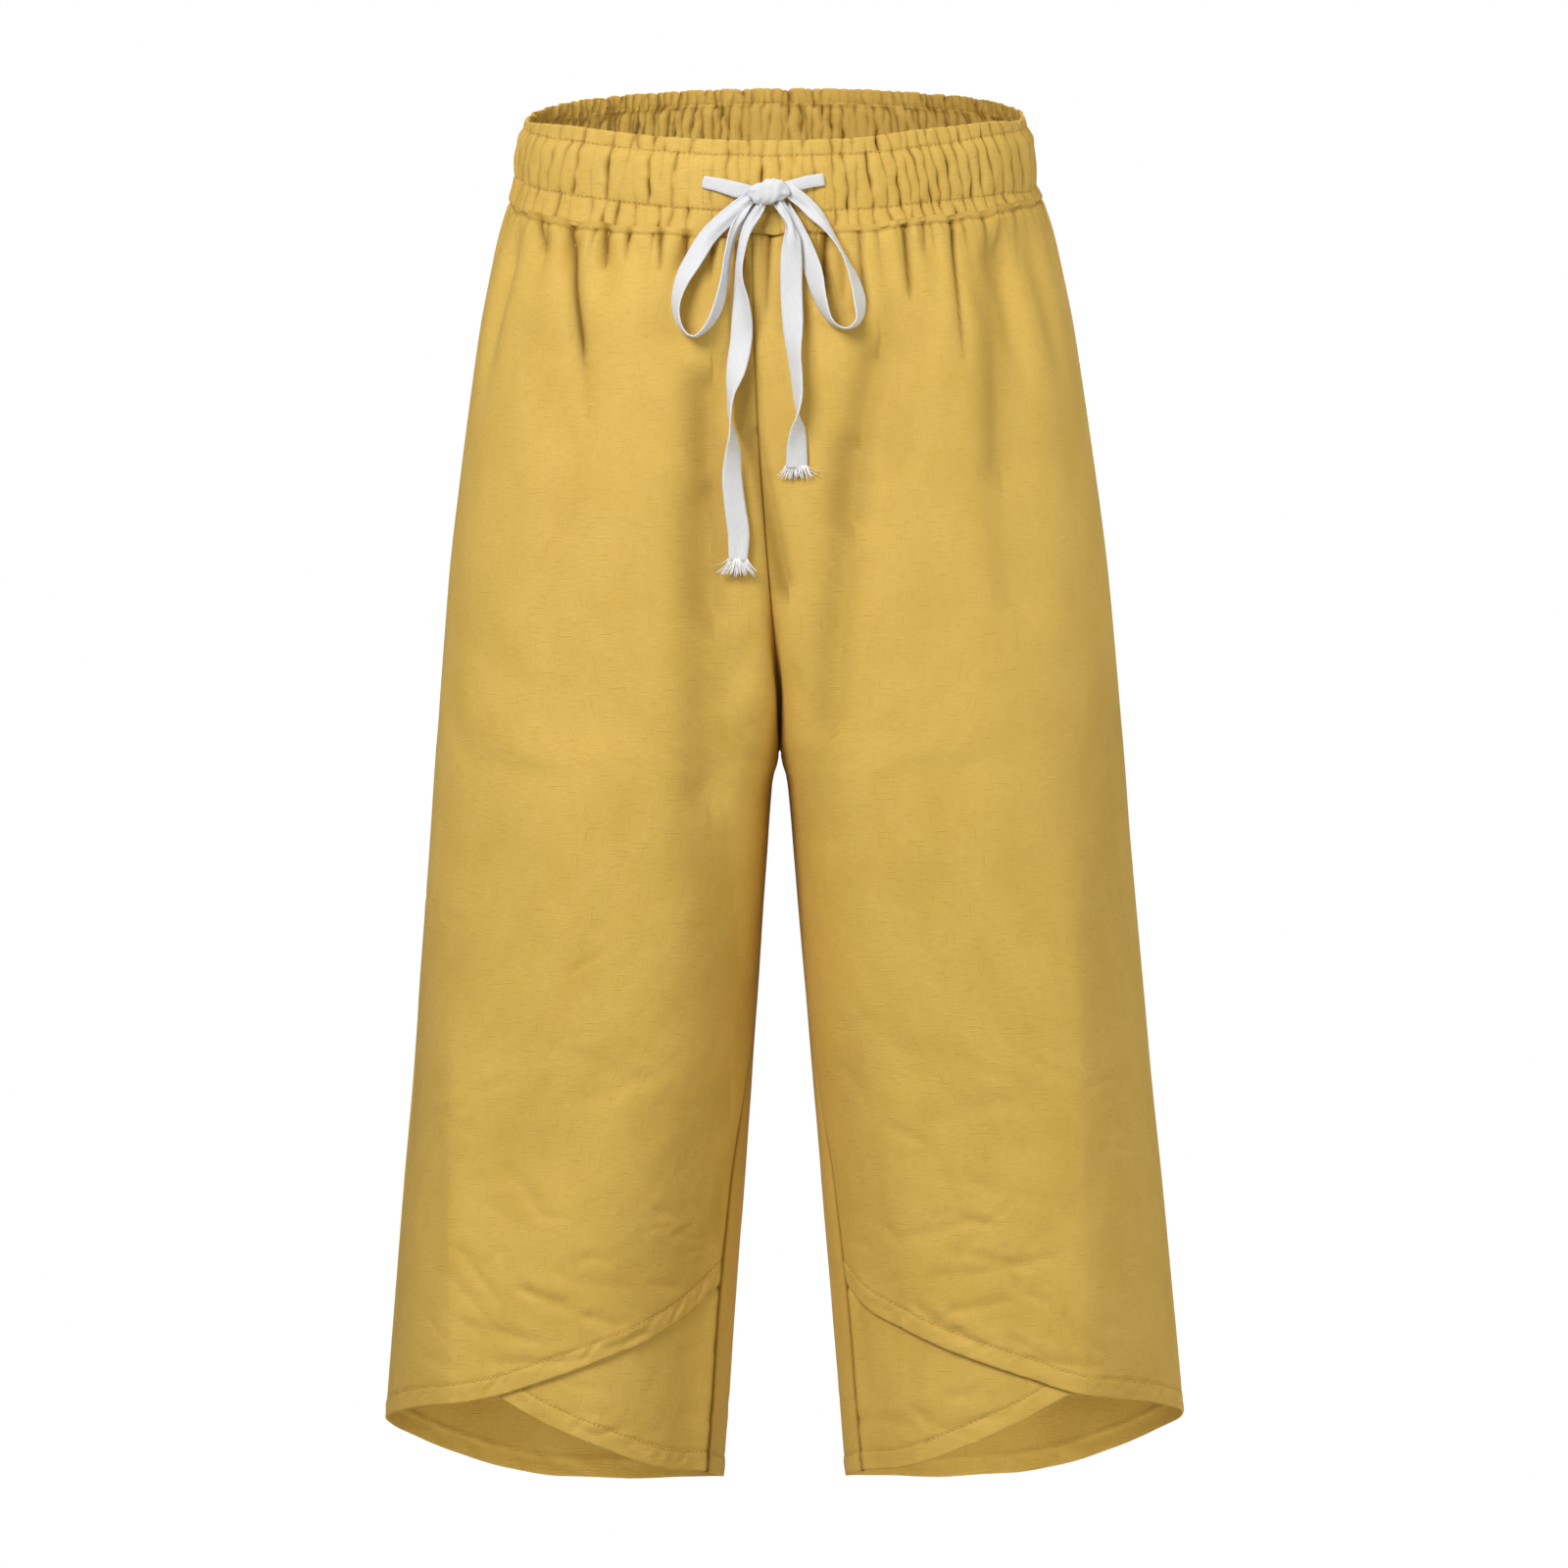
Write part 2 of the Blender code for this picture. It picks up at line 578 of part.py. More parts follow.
def make_under_petal(side, material):
    """The lower front of a leg, which lies just inside the outer front and shares its
    columns, so that the two walls stay parallel."""
    inset = CLOTH + UNDER_GAP
    sections = []
    for u in panel_columns(panel_name(FRONT, side)):
        bottom = read_table(HEM_ROWS, HEM_COLUMNS, u, "under")
        faces = []
        for step in UNDER_STEPS:
            z = PETAL_START + (bottom - PETAL_START) * step
            faces.append(cloth_faces(FRONT, side, edge_trim(FRONT, side, u, z), z, inset))
        sections.append(tuple(zip(*faces)))
    name = "under_petal_left" if side == LEFT else "under_petal_right"
    return loft_wall(name, sections, material)


def band_value(drop, name):
    return read_table(BAND_ROWS, BAND_COLUMNS, drop, name)


def band_point(angle, drop, inward):
    """Point of the waistband at an angle from the centre front, some way in from its crests."""
    side = band_value(drop, "side") - inward
    depth = band_value(drop, "side") * BAND_DEPTH_RATIO - inward
    x = side * math.sin(angle)
    y = -depth * math.cos(angle)
    return Vector((x, y, BAND_TOP - drop + WAIST_TILT * y + rise(angle, drop)))


def gather_columns(run):
    """Angles across a run of gathers, each with how deep the pucker is there."""
    widths = []
    for k in range(run["count"]):
        waves = sum(size * math.sin(pace * k + run["start"]) for size, pace in WIDTH_WAVES)
        widths.append(1.0 + run["unevenness"] * waves)
    scale = (run["end"] - run["start"]) / sum(widths)
    columns = []
    start = run["start"]
    for k, width in enumerate(widths):
        size, pace = DEPTH_WAVE
        depth = run["depth"] * (1.0 - size + size * math.sin(pace * k + run["end"]))
        wide = width * scale
        for place, pucker in zip(GATHER_SHAPE, (0.0, depth, 0.0)):
            columns.append((start + place * wide, pucker))
        start += wide
    return columns


def make_waistband(material):
    """Three stretches of band, each with its own runs of gathers."""
    centre_back = 180.0 - math.degrees(math.asin(CENTRE_BACK_SHIFT / band_value(BAND_TOP, "side")))
    columns = {}
    for row in GATHER_RUNS:
        run = dict(zip(GATHER_COLUMNS, row))
        run["start"] = centre_back if run["start"] is None else run["start"]
        run["end"] = centre_back if run["end"] is None else run["end"]
        places = columns.setdefault(run["node"], [])
        places.append((run["start"], 0.0))
        places += gather_columns(run)
        if run["end"] in (90.0, 270.0, centre_back):
            places.append((run["end"], 0.0))
    half_gap = math.degrees(SEAM_GAP / 2.0)
    for node, places in columns.items():
        sections = []
        for k, (angle, gather) in enumerate(places):
            radius = band_point(math.radians(angle), 0.0, 0.0).xy.length
            trim = half_gap / radius * ((k == 0) - (k == len(places) - 1))
            outer, inner = [], []
            for drop, _side, wall, pucker, ripple in BAND_ROWS:
                wave = gather * (pucker + ripple)
                turn = math.radians(angle + trim)
                outer.append(band_point(turn, drop, wave))
                inner.append(band_point(turn, drop, wall + gather * (ripple - pucker)))
            sections.append((outer, inner))
        loft_wall(node, sections, material)


def cloth_front(x, z):
    """Depth of the foremost cloth at a place seen from the front."""
    y = -100.0
    for _ in range(4):
        drop = BAND_TOP + WAIST_TILT * y - z
        if drop < BAND_ROWS[-1][0]:
            side = band_value(max(drop, 0.0), "side")
            y = -side * BAND_DEPTH_RATIO * math.sqrt(max(1.0 - (x / side) ** 2, 0.0))
        else:
            level = z
            for _ in range(3):
                level = z - tilt(level) * y
            line = level_line(FRONT, LEFT if x > 0.0 else RIGHT, level)[0]
            y = float(np.interp(abs(x), line[:, 0], line[:, 1]))
    return y


def smooth_route(points, steps):
    """Points along a smooth curve through the given ones."""
    points = [np.array(p, dtype=float) for p in points]
    padded = [2 * points[0] - points[1]] + points + [2 * points[-1] - points[-2]]
    route = []
    for k in range(len(points) - 1):
        a, b, c, d = padded[k:k + 4]
        for step in range(steps):
            t = step / steps
            route.append(0.5 * (2 * b + (c - a) * t + (2 * a - 5 * b + 4 * c - d) * t**2
                                + (3 * b - a - 3 * c + d) * t**3))
    route.append(points[-1])
    return route


def tape_frames(name):
    """Centre, across and face directions, and width at each point of a tape."""
    rows = []
    for row in TAPES[name]:
        place = dict(zip(TAPE_COLUMNS, row))
        turn = math.radians(place["turn"])
        width = TAPE_WIDTH * place["share"]
        reach = (width * abs(math.sin(turn)) + TAPE_THICK * abs(math.cos(turn))) / 2.0
        y = cloth_front(place["x"], place["z"]) - place["lift"] - reach
        rows.append((place["x"], y, place["z"], place["turn"], width))
    route = smooth_route(rows, TAPE_STEPS_PER_SPAN)
    frames = []
    for k, point in enumerate(route):
        before, after = route[max(k - 1, 0)], route[min(k + 1, len(route) - 1)]
        along = Vector((after - before)[:3]).normalized()
        facing = Vector((0.0, -1.0, 0.0))
        facing = (facing - along * facing.dot(along)).normalized()
        facing = Matrix.Rotation(math.radians(point[3]), 3, along) @ facing
        frames.append((Vector(point[:3]), along, along.cross(facing), facing, point[4]))
    return frames


def tape_section(frame):
    centre, _along, across, facing, width = frame
    half, thick = width / 2.0, TAPE_THICK / 2.0
    corners = ((-half, -thick), (half, -thick), (half, thick), (-half, thick))
    return [centre + across * a + facing * b for a, b in corners]


def make_tape(name, material):
    """Flat tape swept along its route, with square ends."""
    bm = bmesh.new()
    rings = [[bm.verts.new(p * MM) for p in tape_section(frame)] for frame in tape_frames(name)]
    for near, far in zip(rings, rings[1:]):
        for k in range(4):
            n = (k + 1) % 4
            bm.faces.new((near[k], near[n], far[n], far[k]))
    bm.faces.new(rings[0])
    bm.faces.new(rings[-1])
    bmesh.ops.recalc_face_normals(bm, faces=bm.faces)
    mesh = bpy.data.meshes.new(name)
    bm.to_mesh(mesh)
    bm.free()
    return add_object(name, mesh, material)


def make_knot(material):
    """The wrapped middle of the bow: a flattened lump with folds slanting across it."""
    x, z = KNOT_CENTRE
    y = cloth_front(x, z) - CLEAR - KNOT_SIZE[1]
    bm = bmesh.new()
    bmesh.ops.create_uvsphere(bm, u_segments=16, v_segments=10, radius=1.0)
    for vert in bm.verts:
        p = vert.co.copy()
        squared = Vector([math.copysign(abs(c) ** KNOT_SQUARENESS, c) for c in p])
        ridge = 1.0 + KNOT_FOLD * math.cos(6.0 * (p.x + 0.6 * p.z))
        vert.co = Vector((squared.x * KNOT_SIZE[0] * ridge, squared.y * KNOT_SIZE[1],
                          squared.z * KNOT_SIZE[2] * ridge)) * MM
    mesh = bpy.data.meshes.new("knot")
    bm.to_mesh(mesh)
    bm.free()
    mesh.shade_smooth()
    knot = add_object("knot", mesh, material)
    knot.location = Vector((x, y, z)) * MM


def make_fray(name, material):
    """A short root strip with separate tapering strands that fan out below it."""
    fray = dict(zip(FRAY_COLUMNS, FRAYS[name]))
    centre, along, _across, _facing, width = tape_frames(fray["tape"])[-1]
    facing = Vector((0.0, -1.0, 0.0))
    across = along.cross(facing).normalized()
    root = centre + along * CLEAR
    count, deep = fray["across"], fray["through"]
    bm = bmesh.new()

    def sheet(distance):
        rows = []
        for j in range(deep + 1):
            lift = (j / deep - 0.5) * TAPE_THICK
            rows.append([bm.verts.new((root + along * distance + facing * lift
                                       + across * (i / count - 0.5) * width) * MM)
                         for i in range(count + 1)])
        return rows

    top, low = sheet(0.0), sheet(FRAY_ROOT)
    for rows in (top, low):
        for j in range(deep):
            for i in range(count):
                bm.faces.new((rows[j][i], rows[j][i + 1], rows[j + 1][i + 1], rows[j + 1][i]))
    for j in (0, deep):
        for i in range(count):
            bm.faces.new((top[j][i], top[j][i + 1], low[j][i + 1], low[j][i]))
    for i in (0, count):
        for j in range(deep):
            bm.faces.new((top[j][i], top[j + 1][i], low[j + 1][i], low[j][i]))
    bmesh.ops.recalc_face_normals(bm, faces=bm.faces)
    ends = [f for f in bm.faces if all(v in sum(low, []) for v in f.verts)]
    for k, face in enumerate(ends):
        place = ((k % count) + 0.5) / count - 0.5
        layer = (k // count) / max(deep - 1, 1)
        length = fray["length"] * (1.0 - STRAND_UNEVENNESS * (1.0 + math.sin(2.9 * k + 0.7)))
        away = across * place * (fray["fan"] - width) + facing * layer * fray["lift"]
        for spread in STRAND_SPREAD:
            face = bmesh.ops.extrude_discrete_faces(bm, faces=[face])["faces"][0]
            middle = face.calc_center_median()
            drop = along * (length / len(STRAND_SPREAD)) + away * spread
            for vert in face.verts:
                vert.co = middle + (vert.co - middle) * STRAND_TAPER + drop * MM
    mesh = bpy.data.meshes.new(name)
    bmesh.ops.recalc_face_normals(bm, faces=bm.faces)
    bm.to_mesh(mesh)
    bm.free()
    return add_object(name, mesh, material)


def make_material(name, color, roughness):
    material = bpy.data.materials.new(name)
    material.use_nodes = True
    shader = material.node_tree.nodes["Principled BSDF"]
    shader.inputs["Base Color"].default_value = color
    shader.inputs["Roughness"].default_value = roughness
    shader.inputs["Metallic"].default_value = 0.0
    return material


for old in list(bpy.data.objects):
    bpy.data.objects.remove(old, do_unlink=True)
PARTS = bpy.data.collections.new("culottes")
bpy.context.scene.collection.children.link(PARTS)

linen = make_material("mustard_linen", MUSTARD, 0.88)
tape = make_material("white_cotton_tape", TAPE_WHITE, 0.8)

make_waistband(linen)
for leg in (LEFT, RIGHT):
    make_leg_panel(FRONT, leg, linen)
    make_leg_panel(BACK, leg, linen)
    make_under_petal(leg, linen)
make_knot(tape)
for tape_name in TAPES:
    make_tape(tape_name, tape)
for fray_name in FRAYS:
    make_fray(fray_name, tape)
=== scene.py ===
"""Culottes: the looks. Linen shells with their gathers, folds, hems and stitching, and a woven
white drawstring with frayed ends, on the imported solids.

Sizes are in millimetres until a mesh is made. +Z is up and the front faces -Y. Left and right
are the wearer's, so the left leg is at +X.
"""
import math

import bpy
import numpy as np
from mathutils import Matrix, Vector


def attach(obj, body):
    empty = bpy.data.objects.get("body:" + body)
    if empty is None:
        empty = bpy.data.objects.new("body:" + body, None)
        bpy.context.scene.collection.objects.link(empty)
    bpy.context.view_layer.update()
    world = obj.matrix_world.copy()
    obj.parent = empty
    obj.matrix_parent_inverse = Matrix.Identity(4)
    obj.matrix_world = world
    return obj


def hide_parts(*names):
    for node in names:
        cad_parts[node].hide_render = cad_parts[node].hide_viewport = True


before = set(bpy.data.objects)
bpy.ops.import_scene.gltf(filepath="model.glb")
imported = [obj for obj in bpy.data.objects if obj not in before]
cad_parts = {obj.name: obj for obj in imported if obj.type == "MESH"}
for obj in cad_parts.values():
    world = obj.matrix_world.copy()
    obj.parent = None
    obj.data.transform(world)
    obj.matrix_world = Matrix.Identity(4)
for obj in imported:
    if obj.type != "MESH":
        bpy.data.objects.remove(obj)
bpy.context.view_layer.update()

MM = 0.001
FRONT, BACK = -1, 1
LEFT, RIGHT = 1, -1

# ---- Form, with the sizes of the solids ----

CLOTH = 1.6
UNDER_GAP = 0.75
CLEAR = 0.3
BAND_TOP = 24.0
BAND_DEPTH_RATIO = 0.71
WAIST_TILT = 0.2
CENTRE_FRONT_SHIFT = -13.0
CENTRE_BACK_SHIFT = -24.0
BODY_TOP = -23.5
SHIFT_END = -288.0
SHIFT_BEND = 1.8
CROTCH = -328.0
PETAL_START = -560.0
TILT_END = -245.0
SIDE_ROUNDNESS = 2.15
PANEL_WIDTH = 190.0
TROUGH_BLEND = 4.0
TUCK_START = 0.3
TAPE_WIDTH = 11.5
TAPE_THICK = 1.5

# Waistband: drop below its top edge, half width at the sides and thickness of the wall.
BAND_COLUMNS = ("drop", "side", "wall")
BAND_ROWS = (
    (0, 137.2, 1.8), (8.5, 138.8, 2.2), (14.5, 141.8, 4.6), (30.5, 143.8, 4.8),
    (36.5, 143.8, 2.2), (47.5, 147, 1.8),
)
BAND_BOTTOM, SEAM_SIDE = BAND_ROWS[-1][:2]

# How far the waistband's top edge, its two rows of stitching and the seam below it rise above
# level, by angle from the centre front towards the left: elastic draws them up unevenly.
RISE_COLUMNS = ("angle", "top", "upper", "lower", "seam")
RISE_DROPS = (0.0, 8.5, 36.5, 47.5)
RISES = (
    (-125, 0, 0, 0, 0), (-90, -1, 2.6, 4.8, 1.1), (-51, 3.7, 4.3, 4.4, 0.2),
    (-16, 1.6, 2.4, 1.6, 0.2), (0, 1.3, 1.8, 0.9, 0.5), (18, 1.6, 1.8, 0.9, 1.1),
    (36, 4, 3.5, 2, 3.4), (57, 3.6, 4.8, 1.6, 4), (75, -0.4, 3.2, -1.4, 2.4),
    (90, -1, 2, -1.6, 1.6), (125, 0, 0, 0, 0),
)
RISE_FADE = 26.0

# Body above the crotch. crown is how far out the front and back are fullest, the dips are how
# far the centre seams lie inside that, and squareness keeps the cloth full up to the seam.
TORSO_COLUMNS = ("z", "side", "front", "back", "crown", "front_dip", "back_dip", "squareness")
TORSO_ROWS = (
    (-23.5, 147, 104.4, 104.4, 2, 0, 0, 2), (-42, 152.6, 107, 108, 14, 0.2, 0.2, 2),
    (-60, 156.6, 109, 111, 28, 0.8, 1, 2), (-90, 162.6, 111, 114.5, 42, 1.6, 2, 2.05),
    (-130, 168.6, 112.5, 118, 56, 2.8, 3.4, 2.1), (-175, 174.8, 113.5, 121, 68, 5, 6, 2.2),
    (-220, 180.4, 114, 122.5, 78, 11, 13, 2.45), (-258, 183.9, 114, 122, 85, 23, 26, 2.8),
    (-288, 186.4, 113.8, 121, 89, 41, 45, 3.2), (-308, 188, 113.4, 120, 92, 62, 66, 3.5),
    (-321, 189.2, 112.9, 118.8, 94, 86, 90, 3.75), (-328, 189.8, 112.5, 118, 95, 112.5, 118, 4.1),
)

# Legs: outer and inner edges, depth to the front and the back, and how far the inseam lies in
# front of the innermost line.
LEG_COLUMNS = ("z", "side", "inner", "front", "back", "inseam", "squareness")
LEG_ROWS = (
    (-328, 189.8, 0, 112.5, 118, 0, 4.1), (-337, 190.5, 2.8, 112, 117.4, 0, 4.05),
    (-350, 191.5, 4.3, 111.2, 116.4, 0, 3.85), (-400, 195.6, 8.4, 107, 111.5, 0, 3.2),
    (-460, 200.8, 13, 101.5, 105.5, 12, 2.75), (-510, 205.1, 17, 97.4, 100.5, 33, 2.5),
    (-560, 210.1, 20.8, 93.3, 95.6, 42, 2.35), (-620, 215.5, 25.2, 89, 91, 42.5, 2.25),
    (-690, 221.7, 30.8, 85, 86.6, 39, 2.2), (-760, 227.6, 36.4, 82, 83.4, 37.5, 2.15),
)

# Hem heights from the inseam (0) round to the side seam (1).
HEM_COLUMNS = ("u", "outer", "under", "back")
HEM_ROWS = (
    (0, -612, -718, -719), (0.1, -627, -714.5, -727), (0.2, -637.5, -708, -733),
    (0.3, -646.5, -698, -738.5), (0.45, -660, -682, -744), (0.55, -668.5, -669, -743.5),
    (0.65, -673.5, -658, -737.5), (0.75, -678, -649, -726), (0.87, -685.5, -641, -709),
    (1, -694, -636, -694),
)

# Folds that run down from the waistband: place along the panel from the centre seam (0) to
# the side (1), depth, half width and length.
TUCK_COLUMNS = ("u", "depth", "reach", "length")
TUCKS = {
    "front_right": (
        (0.08, 2, 7, 30), (0.19, 3, 7, 60), (0.31, 2.8, 7, 40), (0.42, 3.4, 7, 56),
        (0.53, 2.8, 7, 40), (0.64, 3.6, 7, 40), (0.79, 5.6, 8, 110), (0.92, 3, 7, 34),
    ),
    "front_left": (
        (0.12, 3, 7, 70), (0.22, 2.6, 7, 36), (0.33, 3.6, 7, 80), (0.45, 3.2, 7, 44),
        (0.54, 3.4, 7, 52), (0.64, 5, 7, 96), (0.77, 3.6, 8, 120), (0.9, 3, 7, 56),
    ),
    "back_left": (
        (0.08, 2.8, 7, 44), (0.17, 3.8, 7, 80), (0.27, 3, 7, 40), (0.37, 4.6, 7, 110),
        (0.47, 3, 7, 50), (0.57, 3.8, 7, 64), (0.68, 4.6, 7, 96), (0.79, 3, 7, 40),
        (0.91, 3.4, 7, 60),
    ),
    "back_right": (
        (0.09, 3.2, 7, 60), (0.19, 3, 7, 40), (0.3, 4.6, 7, 104), (0.4, 3, 7, 50),
        (0.51, 4, 7, 78), (0.62, 3, 7, 44), (0.72, 4.4, 7, 90), (0.82, 3.2, 7, 50),
        (0.92, 3, 7, 36),
    ),
}

# Long soft troughs of the fronts and the backs: both ends, half width on the side towards -X
# and on the other, depth, and the shade that gathers in them.
TROUGH_COLUMNS = ("x_top", "z_top", "x_bottom", "z_bottom", "steep", "easy", "depth", "shade")
TROUGHS = {
    FRONT: (
        (-35, -112, -35, -180, 13, 22, 9, 0.34), (-35, -180, -34, -240, 16, 20, 9, 0.4),
        (-34, -240, -36, -340, 16, 22, 7, 0.26), (-31, -340, -20, -450, 24, 10, 4, 0.2),
        (-20, -450, -26, -530, 28, 10, 3.5, 0.22), (-26, -530, -32, -600, 36, 12, 4, 0.29),
        (-32, -600, -36, -740, 44, 12, 3.5, 0.28), (-16, -44, -10, -140, 8, 7, 1.6, 0.42),
        (-10, -140, 5, -228, 7, 7, 2.2, 0.6), (76, -66, 66, -150, 12, 12, 1.5, 0.12),
        (196, -330, 216, -740, 40, 10, 0.5, 0.2), (-198, -430, -224, -740, 10, 60, 0.5, 0.24),
        (121, -46, 122, -160, 11, 20, 5.5, 0.22), (122, -160, 128, -240, 14, 22, 4, 0.05),
        (128, -240, 148, -420, 20, 24, 2, 0.03), (54, -96, 44, -150, 11, 18, 5, 0.32),
        (44, -150, 40, -190, 13, 18, 6.5, 0.41), (40, -190, 29, -300, 12, 16, 5, 0.27),
        (29, -300, 24, -360, 12, 14, 2, 0.1), (44, -500, 62, -620, 20, 12, 1.5, 0.13),
        (-112, -90, -108, -300, 14, 22, 2.8, 0.05), (86, -400, 124, -530, 20, 20, 2.5, 0.03),
        (-150, -380, -122, -540, 20, 20, 2.5, 0.03),
    ),
    BACK: (
        (-70, -70, -84, -330, 14, 22, 6, 0.18), (-88, -330, -104, -660, 18, 22, 3.5, 0.07),
        (62, -60, 78, -360, 20, 14, 6, 0.18), (80, -360, 128, -680, 20, 20, 3.5, 0.07),
        (128, -90, 140, -330, 16, 16, 3, 0.09), (-20, -250, -96, -350, 16, 16, 4, 0.09),
        (20, -250, 92, -345, 16, 16, 4, 0.09),
    ),
}

# The bow: place across and up, how far the tape's near side stands off the cloth, its turn
# about its own run (0 is face on), and the share of its width left where it is bunched.
KNOT_CENTRE = (-3.7, -21.5)
KNOT_SIZE = (10.3, 5.3, 8.0)
TAPE_COLUMNS = ("x", "z", "lift", "turn", "share")
TAPES = {
    "lead_right": (
        (-38, -15.8, 0.3, 0, 0.57), (-29.2, -17.7, 0.6, 0, 0.64), (-21.2, -20, 1, 0, 0.72),
        (-13.6, -21.8, 1.4, 0, 0.68),
    ),
    "lead_left": (
        (25, -15, 0.3, 0, 0.57), (17.4, -16.2, 0.6, 0, 0.59), (12.2, -17.4, 1, 0, 0.57),
        (6.8, -18.6, 1.4, 0, 0.54),
    ),
    "loop_right": (
        (-15.4, -26, 3.6, 4, 0.66), (-22.6, -32, 3.2, 8, 0.78), (-35, -43.5, 1.6, 14, 0.84),
        (-43.2, -56, 0.9, 28, 0.92), (-49.9, -68, 0.6, 50, 1), (-53.2, -80.5, 0.5, 68, 1),
        (-51.2, -91.3, 0.5, 80, 1), (-45.4, -97.3, 0.5, 88, 1), (-39, -94.8, 0.5, 80, 1),
        (-32, -84.6, 0.5, 66, 1), (-27.8, -70, 0.7, 68, 1), (-25.4, -55, 1, 72, 0.91),
        (-21.9, -42, 2, 62, 0.7), (-15.8, -32.6, 3.2, 24, 0.49),
    ),
    "loop_left": (
        (9.2, -22.4, 3.5, -4, 0.68), (16.6, -28.6, 3.2, -10, 0.7), (26.6, -40, 1.8, -64, 0.9),
        (35.2, -54, 0.9, -84, 1), (41.4, -68, 0.6, -66, 1), (44, -80, 0.5, -58, 1),
        (42.8, -90, 0.5, -76, 1), (36.2, -93.8, 0.5, -88, 1), (28.4, -89.6, 0.5, -78, 1),
        (23.2, -78, 0.6, -56, 1), (19.6, -64, 0.8, -36, 1), (14.8, -50, 1, -26, 0.83),
        (10.2, -38, 2.2, -20, 0.56), (6.8, -31.4, 3.2, -6, 0.43),
    ),
    "end_right": (
        (-9.4, -30.8, 5.8, 30, 0.47), (-15.8, -41.6, 3.6, 58, 0.7),
        (-19.2, -56, 1.6, 70, 0.91), (-19.9, -68, 0.9, 68, 1),
        (-18.5, -82, 0.5, 38, 1), (-18.7, -98, 0.4, 4, 1),
        (-21.4, -114, 0.4, 26, 1), (-24.4, -128, 0.5, 70, 1),
        (-25.2, -139, 0.5, 84, 1), (-23.9, -149, 0.5, 106, 1),
        (-23.6, -159, 0.5, 134, 1), (-24.2, -172, 0.5, 154, 1),
        (-22.8, -187, 0.4, 164, 1), (-21, -202, 0.4, 174, 1),
        (-21.4, -216.5, 0.4, 180, 0.85),
    ),
    "end_left": (
        (3.4, -30.4, 6, -20, 0.52), (7.4, -38, 6.3, -30, 0.46), (8.4, -46, 6, -16, 0.8),
        (8, -56, 4.6, -6, 0.98), (7.9, -74, 2.8, 0, 1), (8.5, -90, 1, 20, 1),
        (9, -106, 0.5, 50, 1), (10.2, -118, 0.5, 58, 1), (10.9, -129, 0.5, 66, 1),
        (10.9, -138, 0.5, 88, 1), (10.7, -147, 0.5, 132, 1), (10.2, -157, 0.5, 158, 1),
        (10, -167.5, 0.4, 174, 1),
    ),
}

# ---- Finer looks ----

# Cloth and sewing: shell thickness, the turned hem, the stitches and how high they lie on the
# cloth, the places of the slits, and how deep and wide the seams are.
LINEN = 0.9
HEM_DEPTH = 10.5
HEM_EXTRA = 0.3
STITCH_PITCH = 3.0
STITCH_LENGTH = 2.1
STITCH_THICK = 0.55
UPPER_STITCHES, LOWER_STITCHES = BAND_STITCH_DROPS = (8.5, 36.5)
STITCH_BLEND = 1.2
HEM_STITCH_ENDS = (0.01, 0.99)
HEM_STITCH_LIFT, BAND_STITCH_LIFT = 0.2, 0.15
SLIT_X = (-38.4, 25.6)
PUCKER_PITCH = 3.6
EDGE_ROLL = 0.5
SEAM_TURN = 5.0
SEAM_WIDTH = 0.9
CENTRE_SEAM_DEPTH = 0.6
CENTRE_VALLEY_DEPTH = 1.5
INSEAM_DEPTH = 1.9
SIDE_SEAM_DEPTH = 0.7
BEHIND_BAND = 1.9
GATHERS_FADE, GATHERS_END = 7.0, 40.0

# Where the cloth's outer face lies inside the form, where the seams' shade and the stronger
# rumple of the lower legs begin, and the share of shade on the petals and the inside.
CLOTH_INSET = 0.35
BACK_VALLEY_TOP = -213.5
FRONT_SHADE_TOP = -215.0
LOWER_LEG = -430.0
RUMPLE_EDGE = 22.0
PETAL_SHADE = 0.6
INNER_SHADE = 0.15

# Angle round the waist at which the inside of the back lies most in the shade.
FAR_CORNER = 118.0

